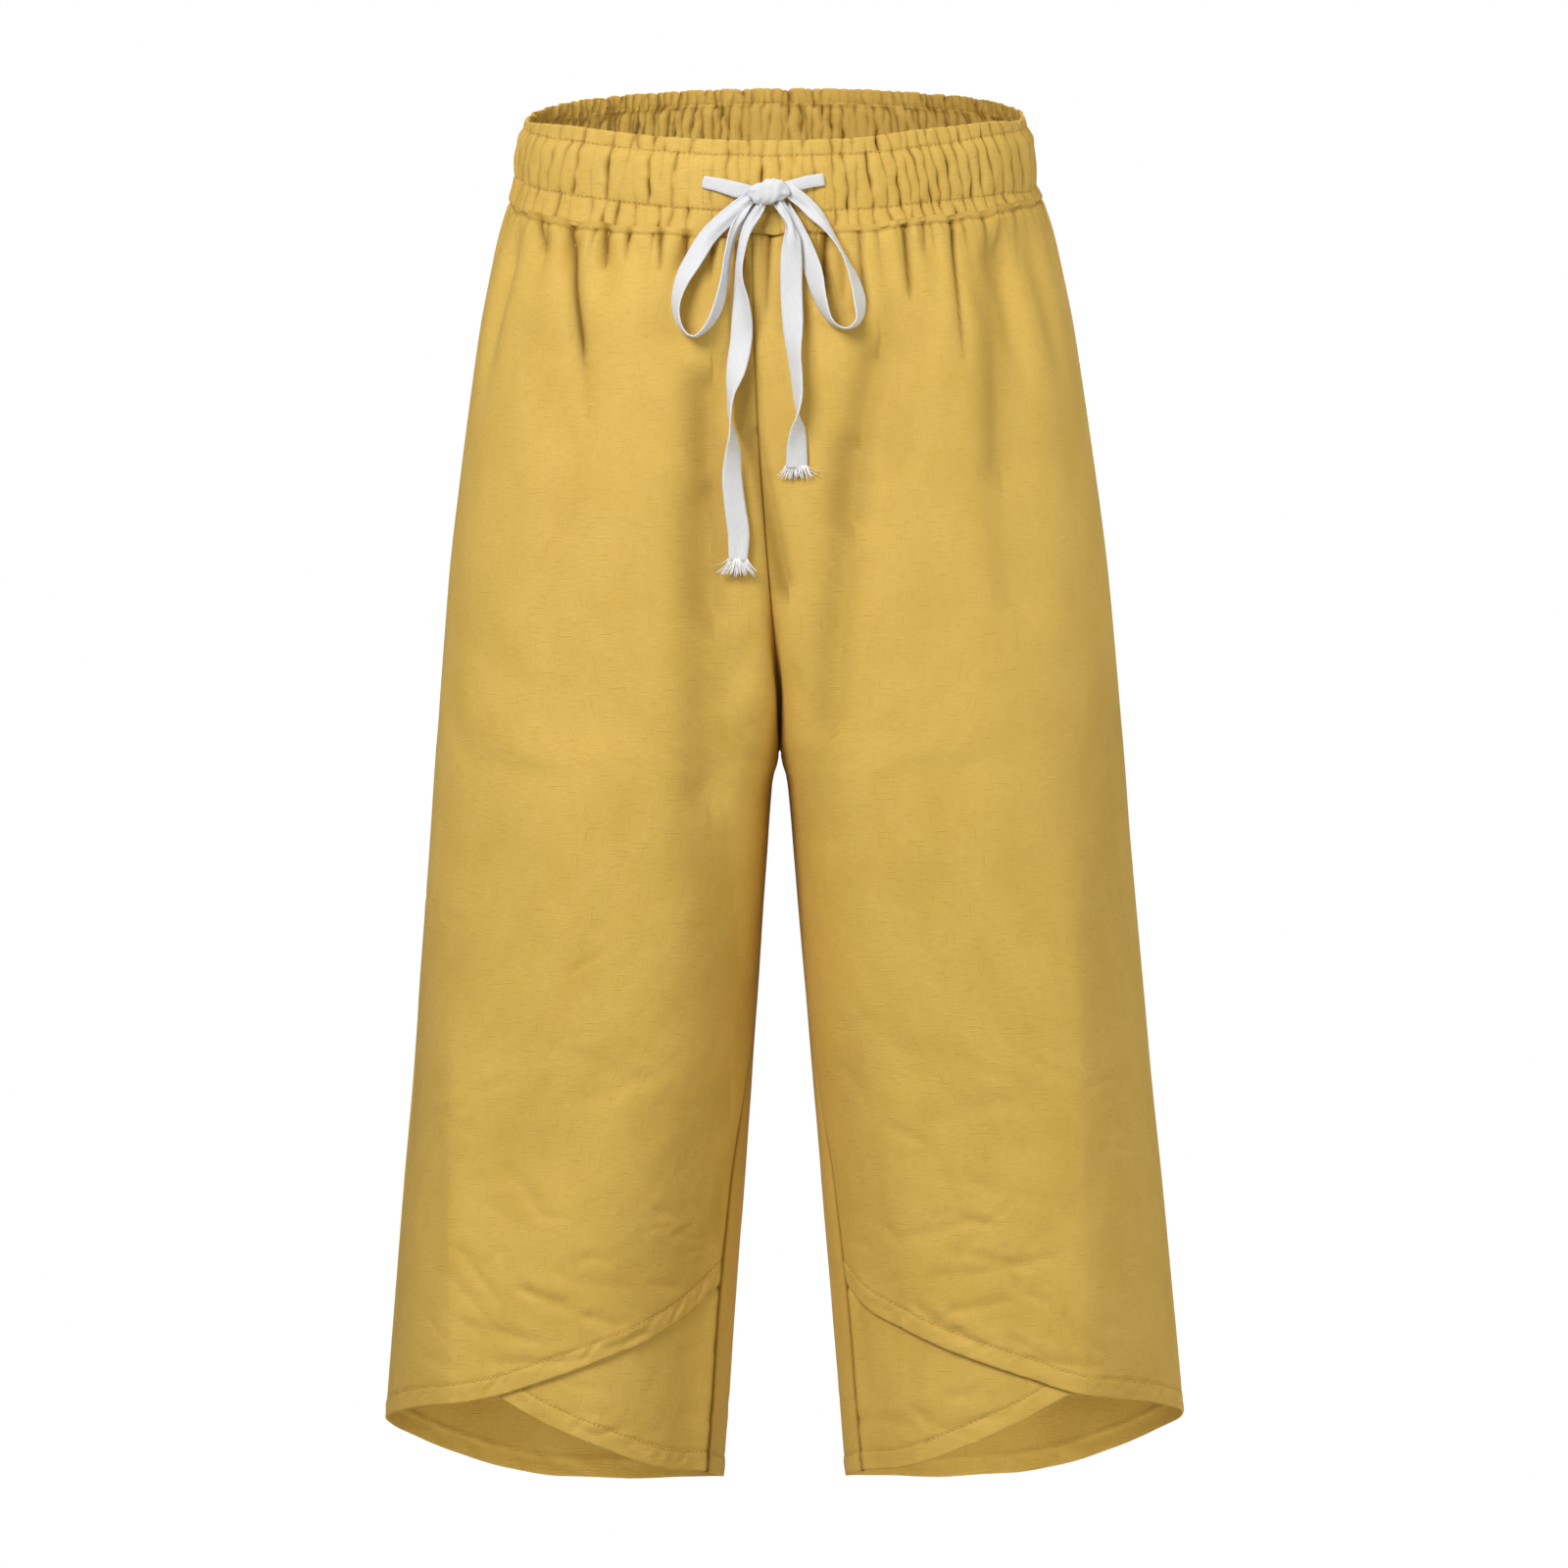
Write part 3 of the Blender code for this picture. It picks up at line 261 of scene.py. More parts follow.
# Creases across the front of the waistband: place across, how far the foot of the crease
# leans to the wearer's left, its depth in the ruffle, the channel and the lower strip, and its
# half width. The depths are set against each other, and the shares make those in each
# of the three parts deeper. Each crease ends at so many half widths from its line.
CREASE_RADIUS = 142.0
CREASE_END = 7.0
CREASE_SHARES = (1.4, 1.35, 1.5)
CREASE_COLUMNS = ("x", "lean", "ruffle", "channel", "strip", "half_width")
FRONT_CREASES = (
    (-133, -1, 0.4, 1.3, 0.5, 1.3), (-127, -2, 0.3, 0.8, 1.1, 1.2),
    (-121, -4, 1.2, 0.9, 0.3, 1.2), (-114, -4, 0.3, 0.8, 1.5, 1.3), (-107, -3, 1, 1.7, 0.3, 1.1),
    (-98.5, 1, 0.2, 0.3, 0.8, 1.6), (-90, -1, 1.2, 1.7, 1.5, 1.1), (-80, -7, 1, 0.4, 1.2, 1.3),
    (-76, 3, 0.8, 0.2, 0.6, 1.2), (-67.5, -1, 1.3, 1.4, 0.2, 1.1), (-61, -1, 0.9, 0.2, 1.2, 1.2),
    (-54, -3, 0.2, 1, 0.7, 1.3), (-46.5, 0, 0.9, 0.3, 1.1, 1.3), (-34, 1, 0.4, 0.5, 0.7, 1.4),
    (-26, 2, 1.1, 0.8, 0.5, 1.2), (-20, -1, 0.3, 0.6, 0.8, 1.3), (-14, 0, 0.8, 0.6, 0.4, 1.2),
    (-7, 0.5, 0.9, 1.5, 0.6, 1), (2, 1, 0.6, 0.7, 0.4, 1.3), (9, -0.5, 0.3, 0.7, 0.6, 1.2),
    (15.5, 1, 0.9, 0.5, 0.3, 1.2), (20.5, 0, 0.3, 0.8, 0.7, 1.1), (31, 1, 1, 0.8, 0.8, 1.2),
    (37.5, 2, 0.7, 1.3, 0.5, 1.1), (43, 1, 0.8, 0.6, 1, 1.2), (50, 3, 0.6, 1.5, 0.9, 1.1),
    (58, 4, 1.5, 0.8, 0.9, 1.1), (64.5, 5, 0.7, 1.4, 1.1, 1.1), (70, 4, 0.8, 0.7, 0.9, 1.1),
    (74.5, 6, 0.9, 1.2, 1.1, 1), (80, 6, 0.6, 1.3, 0.7, 1), (85, 6, 1, 1.1, 1.2, 1),
    (91.5, 5, 0.9, 1.4, 1.3, 1.1), (97.5, 5, 0.7, 1, 0.7, 1), (103, 5, 1, 1.3, 1, 1),
    (109, 4, 0.6, 1, 0.9, 1), (115, 4, 1, 1.2, 0.6, 1), (121, 3, 0.7, 0.9, 1, 1),
    (127, 2, 0.9, 1.1, 0.6, 1), (132.5, 1, 0.6, 0.9, 0.9, 1),
)

# Creases round the back: how many, the angles they lie between, from the centre front towards
# the left, the most that they lean, and their usual depths in the ruffle, channel and strip.
BACK_CREASES = 100
BACK_CREASE_ENDS = (73.0, 287.0)
BACK_CREASE_LEAN, BACK_CREASE_RADIUS = 3.0, 130.0
BACK_CREASE_DEPTHS = (1.5, 1.9, 1.6)

# Creases and ridges in the fronts and the backs: both ends, half width, and depth at the top
# and at the bottom.
WRINKLE_COLUMNS = ("x_top", "z_top", "x_bottom", "z_bottom", "reach", "deep_top", "deep_bottom")
WRINKLES = {
    FRONT: (
        (-129, -24, -126, -42, 2.6, 2.3, 0.64), (-112, -24, -104, -106, 3.9, 2.9, 2.5),
        (-104, -92, -101, -134, 6, 1.3, 0.39), (-177, -440, -181, -800, 11, -3.8, -3.8),
        (157, -330, 165, -800, 12, -3.6, -3.6), (-92.5, -24, -93.5, -46, 2.8, 3.2, 0.64),
        (-79, -24, -81, -40, 1.8, 2.04, 0.32), (-62, -24, -62, -46, 1.9, 2.55, 0.48),
        (-48, -24, -50, -46, 2.4, 3.06, 0.64), (-34, -24, -35, -50, 2, 1.87, 0.64),
        (-21, -26, -20, -86, 3.2, 2.72, 0.8), (-3, -24, -6, -74, 2.6, 2.04, 0.48),
        (13, -24, 11, -58, 2.2, 2.04, 0.48), (27, -24, 24, -60, 2.6, 3.4, 1.6),
        (36.5, -30, 36, -60, 2.4, 1.2, 1.4), (44.5, -24, 47.5, -72, 2.6, 1.7, 1.9),
        (69, -24, 72, -66, 2.6, 3.3, 1.3), (79.6, -24, 80, -38, 1.7, 1.7, 0.48),
        (95.5, -24, 100, -106, 2.3, 2.8, 0.6), (113, -24, 117, -52, 2.2, 1, 0.6),
        (131, -24, 134, -58, 2.4, 0.6, 0.3), (-12, -250, -34, -300, 7, 0.91, 1.56),
        (4, -268, 26, -316, 7, 0.78, 1.43), (-8, -292, -46, -352, 8, 1.04, 0.78),
        (-134, -470, -64, -498, 6, 0.55, 0.3), (-118, -508, -48, -486, 5, 0.35, 0.6),
        (-155, -540, -126, -564, 3.9, 0.7, 0.7), (-79, -573, -34, -564, 3.9, 0.25, 0.3),
        (-176, -585, -152, -619, 3.1, 0.7, 0.6), (-178, -603, -157, -630, 2.7, 0.55, 0.5),
        (-126, -597, -104, -608, 3.1, 0.5, 0.45), (-146, -606, -112, -622, 2.7, 0.5, 0.6),
        (-112, -622, -82, -632, 2.7, 0.84, 0.63), (-180, -627, -126, -639, 2.7, 0.77, 0.7),
        (-164, -650, -108, -648, 2.7, 0.84, 0.7), (-100, -643, -68, -634, 2.3, 0.63, 0.77),
        (-60, -626, -34, -606, 2.7, 0.5, 0.4), (-117, -676, -92, -681, 2.3, 0.63, 0.63),
        (-102, -690, -76, -686, 2.3, 0.63, 0.56), (52, -474, 122, -492, 5, 0.35, 0.25),
        (60, -522, 138, -506, 5.5, 0.45, 0.45), (76, -548, 150, -562, 4.5, 0.55, 0.3),
        (54, -586, 112, -570, 3.5, 0.45, 0.5), (118, -582, 127, -616, 3.5, 0.77, 0.7),
        (92, -604, 150, -592, 3.1, 0.63, 0.84), (84, -624, 128, -616, 2.7, 0.7, 0.63),
        (88, -630, 112, -645, 2.7, 0.91, 0.77), (150, -622, 161, -648, 2.7, 0.84, 0.63),
        (66, -618, 96, -640, 2.7, 0.77, 0.63), (126, -648, 176, -657, 2.7, 0.77, 0.7),
        (82, -672, 112, -664, 2.3, 0.63, 0.56), (62, -676, 88, -690, 2.3, 0.63, 0.63),
    ),
    BACK: (
        (-110, -24, -104, -86, 2.4, 3.23, 0.96), (-78, -24, -80, -52, 2, 2.72, 0.64),
        (-46, -24, -43, -70, 2.2, 2.89, 0.8), (8, -24, 10, -58, 2, 2.72, 0.64),
        (36, -24, 40, -92, 2.6, 3.4, 0.96), (70, -24, 69, -48, 1.9, 2.55, 0.48),
        (98, -24, 104, -84, 2.4, 3.06, 0.8), (126, -24, 130, -54, 2, 2.38, 0.64),
        (-18, -276, -64, -322, 8, 1.04, 1.3), (14, -282, 66, -336, 8, 1.17, 1.04),
        (-150, -452, -74, -478, 6, 0.78, 0.65), (-120, -540, -50, -520, 6, 0.91, 0.65),
        (-166, -612, -88, -630, 5, 0.65, 0.91), (58, -466, 140, -484, 6, 0.78, 0.65),
        (70, -556, 132, -538, 5, 0.91, 0.52), (84, -640, 160, -622, 5, 0.65, 0.91),
    ),
}

# A crease that starts above this height hangs from the waistband.
HANGING_FROM = -30.0

# Small creases of worn linen on the lower legs: how many on each panel, the places across and
# heights they lie between, how they crowd towards the hem, the spread of their slopes in
# degrees, their lengths, half widths and depths.
SMALL_CREASES = 84
SMALL_CREASE_PLACES = (38.0, 192.0)
SMALL_CREASE_HEIGHTS = (-690.0, -400.0)
SMALL_CREASE_CROWDING = 2.4
SMALL_CREASE_SLOPE = 26.0
SMALL_CREASE_LENGTHS = (9.0, 36.0)
SMALL_CREASE_REACHES = (1.7, 3.4)
SMALL_CREASE_DEPTHS = (0.2, 0.55)

# Soft unevenness of the cloth: size of a cell across and down, height and seed.
RUMPLE_COLUMNS = ("across", "down", "height", "seed")
RUMPLES = (
    (46, 90, 1.5, 11), (24, 34, 0.5, 12), (9, 11, 0.16, 13),
)

# ---- Camera and stage ----

MM_PER_PIXEL = 0.54
FRAME_PIXELS = 1600
CAMERA_DISTANCE = 3200.0
CAMERA_ELEVATION = 4.0
CAMERA_ROLL = -0.4
CENTRE_COLUMN = 796
WAIST_ROW = 165
FLOOR_Z = -1020.0
STAGE_RADIUS = 12000.0
SHADE_LIGHT = (1.0, 0.98, 0.8)
SHADE_POWER = 0.27
WARM_LIGHT = (1.0, 0.99, 0.92)


def make_camera():
    """Slightly above the middle of the garment, looking a little down."""
    middle = FRAME_PIXELS / 2
    target = Vector(((middle - CENTRE_COLUMN) * MM_PER_PIXEL, 0.0,
                     (WAIST_ROW - middle) * MM_PER_PIXEL)) * MM
    tilt_down = math.radians(CAMERA_ELEVATION)
    back = Vector((0.0, -math.cos(tilt_down), math.sin(tilt_down)))
    camera = bpy.data.objects.new("camera", bpy.data.cameras.new("camera"))
    bpy.context.scene.collection.objects.link(camera)
    camera.location = target + back * CAMERA_DISTANCE * MM
    camera.rotation_euler = (-back).to_track_quat("-Z", "Y").to_euler()
    camera.rotation_euler.rotate_axis("Z", math.radians(CAMERA_ROLL))
    camera.data.lens = camera.data.sensor_width * CAMERA_DISTANCE / (FRAME_PIXELS * MM_PER_PIXEL)
    camera.data.clip_end = 2.0 * STAGE_RADIUS * MM
    bpy.context.scene.camera = camera


def add_light(name, place, size, power, color=(1.0, 1.0, 1.0), aim=(0.0, 0.0, -0.35),
              spread=180.0):
    """A square soft light."""
    light = bpy.data.lights.new(name, "AREA")
    light.shape = "SQUARE"
    light.size = size
    light.energy = power
    light.color = color
    light.spread = math.radians(spread)
    thing = bpy.data.objects.new(name, light)
    bpy.context.scene.collection.objects.link(thing)
    thing.location = place
    facing = Vector(aim) - Vector(place)
    thing.rotation_euler = facing.to_track_quat("-Z", "Y").to_euler()


def make_stage():
    """White floor and surround, with plain soft light."""
    bpy.ops.mesh.primitive_circle_add(vertices=96, radius=STAGE_RADIUS * MM, fill_type="NGON",
                                      location=(0.0, 0.0, FLOOR_Z * MM))
    floor = bpy.context.object
    bpy.ops.mesh.primitive_uv_sphere_add(segments=48, ring_count=24, radius=STAGE_RADIUS * MM)
    surround = bpy.context.object
    surround.visible_shadow = False
    for thing, name, color_name in ((floor, "floor", "pale"), (surround, "surround", "white")):
        thing.name = name
        glow = Nodes(color_name + "_" + name)
        glow.fill(glow.shader, {
            "Base Color": (0.0, 0.0, 0.0, 1.0), "Roughness": 1.0, "Specular IOR Level": 0.0,
            "Emission Color": (1.0, 1.0, 1.0, 1.0), "Emission Strength": 1.0})
        thing.data.materials.append(glow.material)
        thing.visible_diffuse = thing.visible_glossy = False
    world = bpy.data.worlds.new("studio")
    world.use_nodes = True
    background = world.node_tree.nodes["Background"].inputs
    background["Color"].default_value = (*SHADE_LIGHT, 1.0)
    background["Strength"].default_value = SHADE_POWER
    bpy.context.scene.world = world
    add_light("key", (-1.18, -2.0, 1.25), 1.2, 61.0)
    add_light("fill", (2.5, -2.0, 0.1), 1.6, 29.0, WARM_LIGHT)
    add_light("bounce", (0.0, -2.2, -1.5), 1.4, 6.0, WARM_LIGHT)
    add_light("right_edge", (3.0, 0.35, -0.3), 1.2, 15.0, WARM_LIGHT)
    add_light("left_edge", (-3.0, 0.2, 0.0), 1.2, 3.0, WARM_LIGHT)
    add_light("top", (0.3, 0.6, 2.2), 1.2, 14.0, WARM_LIGHT)
    add_light("back", (0.4, 3.0, 0.8), 1.4, 22.0)
    for name, x in (("under_left", 0.135), ("under_right", -0.135)):
        add_light(name, (x, -0.05, -1.0), 0.1, 0.12, SHADE_LIGHT, (x, 0.08, -0.68), 70.0)
    bpy.context.scene.view_settings.view_transform = "Standard"


# ---- Form ----


def smooth_step(t):
    """0 up to 0, 1 from 1 on and smooth between."""
    t = np.clip(t, 0.0, 1.0)
    return t * t * (3.0 - 2.0 * t)


def bell(away, width=1.0):
    """1 at a line and smoothly less on both sides of it."""
    return np.exp(-(away / width) ** 2)


def decay(away, length):
    """1 at a line, where it has a sharp peak, and less away from it."""
    return np.exp(-away / length)


def begun(level, z, over=60.0):
    """0 above a level, 1 from some way below it and smooth between."""
    return smooth_step((level - z) / over)


def named(columns, rows):
    """Rows of a table, each with its values under the names of the columns."""
    return [dict(zip(columns, row)) for row in rows]


def read_table(rows, columns, key, name):
    """Values of one column at keys in the first column, on a smooth curve through the rows."""
    place = columns.index(name)
    knots = np.array([row[0] for row in rows], dtype=float)
    values = np.array([row[place] for row in rows], dtype=float)
    key = np.asarray(key, dtype=float)
    if knots[0] > knots[-1]:
        knots, key = -knots, -key
    key = np.clip(key, knots[0], knots[-1])
    slopes = np.diff(values) / np.diff(knots)
    before, after = slopes[:-1], slopes[1:]
    agree = before * after > 0.0
    inner = np.where(agree, 2.0 * before * after / np.where(agree, before + after, 1.0), 0.0)
    tangents = np.concatenate(([slopes[0]], inner, [slopes[-1]]))
    i = np.clip(np.searchsorted(knots, key) - 1, 0, len(knots) - 2)
    span = knots[i + 1] - knots[i]
    t = (key - knots[i]) / span
    return ((2 * t**3 - 3 * t**2 + 1) * values[i] + (t**3 - 2 * t**2 + t) * span * tangents[i]
            + (3 * t**2 - 2 * t**3) * values[i + 1] + (t**3 - t**2) * span * tangents[i + 1])


def read_level(rows, columns, z):
    """Every value of a table at one height."""
    return {name: float(read_table(rows, columns, z, name)) for name in columns[1:]}


def rise(angle, drop):
    """How far the cloth rises above level at an angle and a drop below the top edge."""
    degrees = (np.degrees(angle) + 180.0) % 360.0 - 180.0
    heights = [read_table(RISES, RISE_COLUMNS, degrees, name) for name in RISE_COLUMNS[1:]]
    total = heights[0]
    for start, end, a, b in zip(RISE_DROPS, RISE_DROPS[1:], heights, heights[1:]):
        total = total + (b - a) * np.clip((drop - start) / (end - start), 0.0, 1.0)
    return total


def seam_rise(x, y, below):
    """The panels follow the seam's rise and lose it further down."""
    angle = np.arctan2(x, -y / BAND_DEPTH_RATIO)
    return rise(angle, BAND_BOTTOM) * decay(below, RISE_FADE)


def centre_shift(face, z):
    """How far the centre seam lies to one side; it comes back to the middle at the crotch."""
    shift = CENTRE_FRONT_SHIFT if face == FRONT else CENTRE_BACK_SHIFT
    fallen = min(max((BODY_TOP - z) / (BODY_TOP - SHIFT_END), 0.0), 1.0)
    return shift * (1.0 - fallen ** SHIFT_BEND)


def tilt(z):
    """Slope of the level lines, which follow the waist down to the hips."""
    return WAIST_TILT * (1.0 - smooth_step((BODY_TOP - z) / (BODY_TOP - TILT_END)))


ARC = np.linspace(0.0, 1.0, 97)


def outer_arc(crown, side, depth):
    """From the fullest point out to the side seam."""
    angle = ARC * math.pi / 2.0
    power = 2.0 / SIDE_ROUNDNESS
    x = crown + (side - crown) * np.sin(angle) ** power
    return np.column_stack((x, depth * np.cos(angle) ** power))


def inner_arc(crown, inner, depth, seam_depth, squareness):
    """From the centre seam, or the innermost line of a leg, out to the fullest point."""
    angle = (1.0 - ARC) * math.pi / 2.0
    x = crown - (crown - inner) * np.sin(angle) ** (2.0 / squareness)
    y = seam_depth + (depth - seam_depth) * np.cos(angle) ** (2.0 / squareness)
    return np.column_stack((x, y))


def torso_line(face, side, z):
    """Half of a level line above the crotch, from the centre seam to the side seam."""
    name = "front" if face == FRONT else "back"
    value = read_level(TORSO_ROWS, TORSO_COLUMNS, z)
    seam_depth = max(value[name] - value[name + "_dip"], 0.0)
    inner = inner_arc(value["crown"], 0.0, value[name], seam_depth, value["squareness"])
    line = np.vstack((inner, outer_arc(value["crown"], value["side"], value[name])[1:]))
    line[:, 0] += side * centre_shift(face, z) * (1.0 - line[:, 0] / value["side"]) ** 2
    return line * (1.0, face)


def leg_line(face, z):
    """Half of a level line below the crotch, from the inseam to the side seam."""
    value = read_level(LEG_ROWS, LEG_COLUMNS, z)
    crown = (value["side"] + value["inner"]) / 2.0
    front = inner_arc(crown, value["inner"], value["front"], 0.0, value["squareness"])
    inseam = [np.interp(value["inseam"], front[:, 1], front[:, 0]), value["inseam"]]
    if face == FRONT:
        inner = np.vstack((inseam, front[front[:, 1] > value["inseam"]]))
        outer = outer_arc(crown, value["side"], value["front"])
        return np.vstack((inner, outer[1:])) * (1.0, -1.0)
    wrap = np.vstack((inseam, front[front[:, 1] < value["inseam"]][::-1])) * (1.0, -1.0)
    back = inner_arc(crown, value["inner"], value["back"], 0.0, value["squareness"])
    return np.vstack((wrap, back[1:], outer_arc(crown, value["side"], value["back"])[1:]))


def level_line(face, side, z):
    """A level line with the distances along it."""
    line = torso_line(face, side, z) if z >= CROTCH else leg_line(face, z)
    steps = np.hypot(*np.diff(line, axis=0).T)
    return line, np.concatenate(([0.0], np.cumsum(steps)))


LEVEL_STEP = 2.0
LOWEST = -762.0
EVEN = np.linspace(0.0, 1.0, 257)


class FormSheet:
    """A quarter of the smooth form, read anywhere by its place along the panel and height."""

    def __init__(self, face, side):
        self.face, self.side = face, side
        self.top = BODY_TOP + 2.0 * LEVEL_STEP
        self.levels = np.arange(self.top, LOWEST, -LEVEL_STEP)
        self.lengths = np.zeros(len(self.levels))
        self.xy = np.zeros((len(self.levels), len(EVEN), 2))
        for k, z in enumerate(self.levels):
            line, along = level_line(face, side, z)
            self.lengths[k] = along[-1]
            for axis in (0, 1):
                self.xy[k, :, axis] = np.interp(EVEN * along[-1], along, line[:, axis])

    def length(self, z):
        return np.interp(-np.asarray(z), -self.levels, self.lengths)

    def points(self, u, z):
        row = np.clip((self.top - z) / LEVEL_STEP, 0.0, len(self.levels) - 1.001)
        column = np.clip(u, 0.0, 1.0) * (len(EVEN) - 1.001)
        r, c = row.astype(int), column.astype(int)
        fr, fc = (row - r)[..., None], (column - c)[..., None]
        upper = self.xy[r, c] * (1.0 - fc) + self.xy[r, c + 1] * fc
        lower = self.xy[r + 1, c] * (1.0 - fc) + self.xy[r + 1, c + 1] * fc
        xy = upper * (1.0 - fr) + lower * fr
        return np.stack((self.side * xy[..., 0], xy[..., 1], z + tilt(z) * xy[..., 1]), axis=-1)

    def normals(self, u, z):
        """Outward directions, over small steps along and down."""
        along = self.points(u + 0.01, z) - self.points(u - 0.01, z)
        down = self.points(u, z - 2.5) - self.points(u, z + 2.5)
        out = np.cross(along, down) * (self.face * self.side)
        return out / np.linalg.norm(out, axis=-1, keepdims=True)


def panel_name(face, side):
    return ("front_" if face == FRONT else "back_") + ("left" if side == LEFT else "right")


SHEETS = {panel_name(face, side): FormSheet(face, side)
          for face in (FRONT, BACK) for side in (LEFT, RIGHT)}


def cell_noise(a, b, seed):
    """Smooth uneven values about -1 to 1, one cell to each whole number."""
    size = 64
    values = np.random.default_rng(seed).uniform(-1.0, 1.0, (size, size))
    i, j = np.floor(a).astype(int), np.floor(b).astype(int)
    fa, fb = smooth_step(a - i), smooth_step(b - j)
    i, j, i1, j1 = i % size, j % size, (i + 1) % size, (j + 1) % size
    return ((values[i, j] * (1 - fa) + values[i1, j] * fa) * (1 - fb)
            + (values[i, j1] * (1 - fa) + values[i1, j1] * fa) * fb)


def line_noise(a, seed):
    """Smooth uneven values along a line, one cell to each whole number."""
    return cell_noise(a, a * 0.0, seed)


# ---- Meshes ----

SHARP_EDGE = 75.0


def finish_mesh(name, verts, faces, uv, material, sewing=None, painted_shade=None):
    """Smooth mesh in metres, with its cloth coordinates, that rides on the body."""
    mesh = bpy.data.meshes.new(name)
    mesh.from_pydata(np.asarray(verts) * MM, [], faces)
    corners = np.zeros(len(mesh.loops), dtype=np.int32)
    mesh.loops.foreach_get("vertex_index", corners)
    for layer_name, values in (("cloth", uv), ("sewing", sewing)):
        if values is not None:
            layer = mesh.uv_layers.new(name=layer_name)
            layer.data.foreach_set("uv", (np.asarray(values) * MM)[corners].ravel())
    # Painted shade, point by point, which the linen mixes into its colour.
    if painted_shade is not None:
        shade = mesh.attributes.new("painted_shade", "FLOAT", "POINT")
        shade.data.foreach_set("value", np.asarray(painted_shade, dtype=np.float32).ravel())
    mesh.shade_smooth()
    mesh.materials.append(material)
    thing = bpy.data.objects.new(name, mesh)
    bpy.context.scene.collection.objects.link(thing)
    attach(thing, "root")
    return thing


def make_shell(name, grids, material, coarse=1):
    """Closed shell between two grids of points, one a cloth's thickness inside the other.

    The inner grid keeps only every coarse-th row and column.
    """
    outer, inner = grids["outer"], grids["inner"][::coarse, ::coarse]
    rows, cols = outer.shape[:2]
    index = np.arange(rows * cols).reshape(rows, cols)
    far = np.arange(inner.shape[0] * inner.shape[1]).reshape(inner.shape[:2]) + rows * cols
    faces = []
    for grid, turned in ((index, False), (far, True)):
        quads = np.stack((grid[:-1, :-1], grid[1:, :-1], grid[1:, 1:], grid[:-1, 1:]), axis=-1)
        quads = quads.reshape(-1, 4)
        faces += (quads[:, ::-1] if turned else quads).tolist()
    for edge, other in ((index[0], far[0]), (index[:, -1], far[:, -1]),
                        (index[-1][::-1], far[-1][::-1]), (index[:, 0][::-1], far[:, 0][::-1])):
        for k in range(len(other) - 1):
            near = edge[k * coarse:(k + 1) * coarse + 1].tolist()
            faces.append(near + [int(other[k + 1]), int(other[k])])
    i, j = rows // 2, cols // 2
    facing = np.cross(outer[i + 1, j] - outer[i, j], outer[i, j + 1] - outer[i, j])
    if np.dot(facing, outer[i, j] - grids["inner"][i, j]) < 0.0:
        faces = [face[::-1] for face in faces]

    def both(key, width):
        """Values of both grids, point by point."""
        within = grids.get("inner_" + key, grids[key])[::coarse, ::coarse]
        return np.vstack((grids[key].reshape(-1, width), within.reshape(-1, width)))

    verts = np.vstack((outer.reshape(-1, 3), inner.reshape(-1, 3)))
    piece = finish_mesh(name, verts, faces, both("uv", 2), material, both("sewing", 2),
                        both("painted_shade", 1))
    piece.data.set_sharp_from_angle(angle=math.radians(SHARP_EDGE))
    return piece


def tube_faces(rings, around, first=0, capped=True):
    """Faces round rings of points, one ring after the other, and at the two ends."""
    index = first + np.arange(rings * around).reshape(rings, around)
    turned = np.roll(index, -1, axis=1)
    faces = np.stack((index[:-1], turned[:-1], turned[1:], index[1:]), axis=-1)
    faces = faces.reshape(-1, 4).tolist()
    return faces + [index[0][::-1].tolist(), index[-1].tolist()] if capped else faces


# A stitch from tip to tip: place along its half length, share of its thickness and height.
STITCH_SECTIONS = ((-1.0, 0.0, -0.5), (-0.6, 1.0, 0.45), (0.6, 1.0, 0.45), (1.0, 0.0, -0.5))


def add_stitches(name, runs, material):
    """A short raised thread between each pair of points, each with its outward direction."""
    verts, faces = [], []
    for start, end, out in runs:
        along = end - start
        length = np.linalg.norm(along)
        if length < 1e-6:
            continue
        along = along / length
        across = np.cross(along, out)
        across /= max(np.linalg.norm(across), 1e-9)
        lift = np.cross(across, along)
        middle = (start + end) / 2.0
        half, thick = min(STITCH_LENGTH, 0.8 * length) / 2.0, STITCH_THICK / 2.0
        first = len(verts)
        for place, share, raised in STITCH_SECTIONS:
            centre = middle + along * half * place + lift * thick * raised
            ring = ((1, 0), (0, 1), (-1, 0), (0, -1)) if share else ((0, 0),)
            verts += [centre + (across * p + lift * q) * thick * share for p, q in ring]
        near, away = first + 1, first + 5
        for k in range(4):
            n = (k + 1) % 4
            faces.append((first, near + n, near + k))
            faces.append((near + k, near + n, away + n, away + k))
            faces.append((away + 4, away + k, away + n))
    return finish_mesh(name, verts, faces, np.zeros((len(verts), 2)), material)


# ---- Cloth relief ----


def off_line(x, z, row):
    """Distance from a crease's line, and the share of the way down it."""
    run = np.array((row["x_bottom"] - row["x_top"], row["z_bottom"] - row["z_top"]), dtype=float)
    dx, dz = x - row["x_top"], z - row["z_top"]
    t = np.clip((dx * run[0] + dz * run[1]) / run.dot(run), 0.0, 1.0)
    return np.hypot(dx - run[0] * t, dz - run[1] * t), t


def trough_depth(face, x, z):
    """How far the long soft troughs draw the cloth in, and how much shade gathers in them."""
    total, shade = np.zeros_like(x), np.zeros_like(x)
    for trough in named(TROUGH_COLUMNS, TROUGHS[face]):
        off, t = off_line(x, z, trough)
        before = x < trough["x_top"] + (trough["x_bottom"] - trough["x_top"]) * t
        off = off / np.where(before, trough["steep"], trough["easy"])
        total += (trough["depth"] * bell(off)) ** TROUGH_BLEND
        wall = np.where(before, bell(off - 0.6, 0.75), 0.7 * bell(off, 0.45))
        shade = np.maximum(shade, trough["shade"] * wall)
    return total ** (1.0 / TROUGH_BLEND), shade


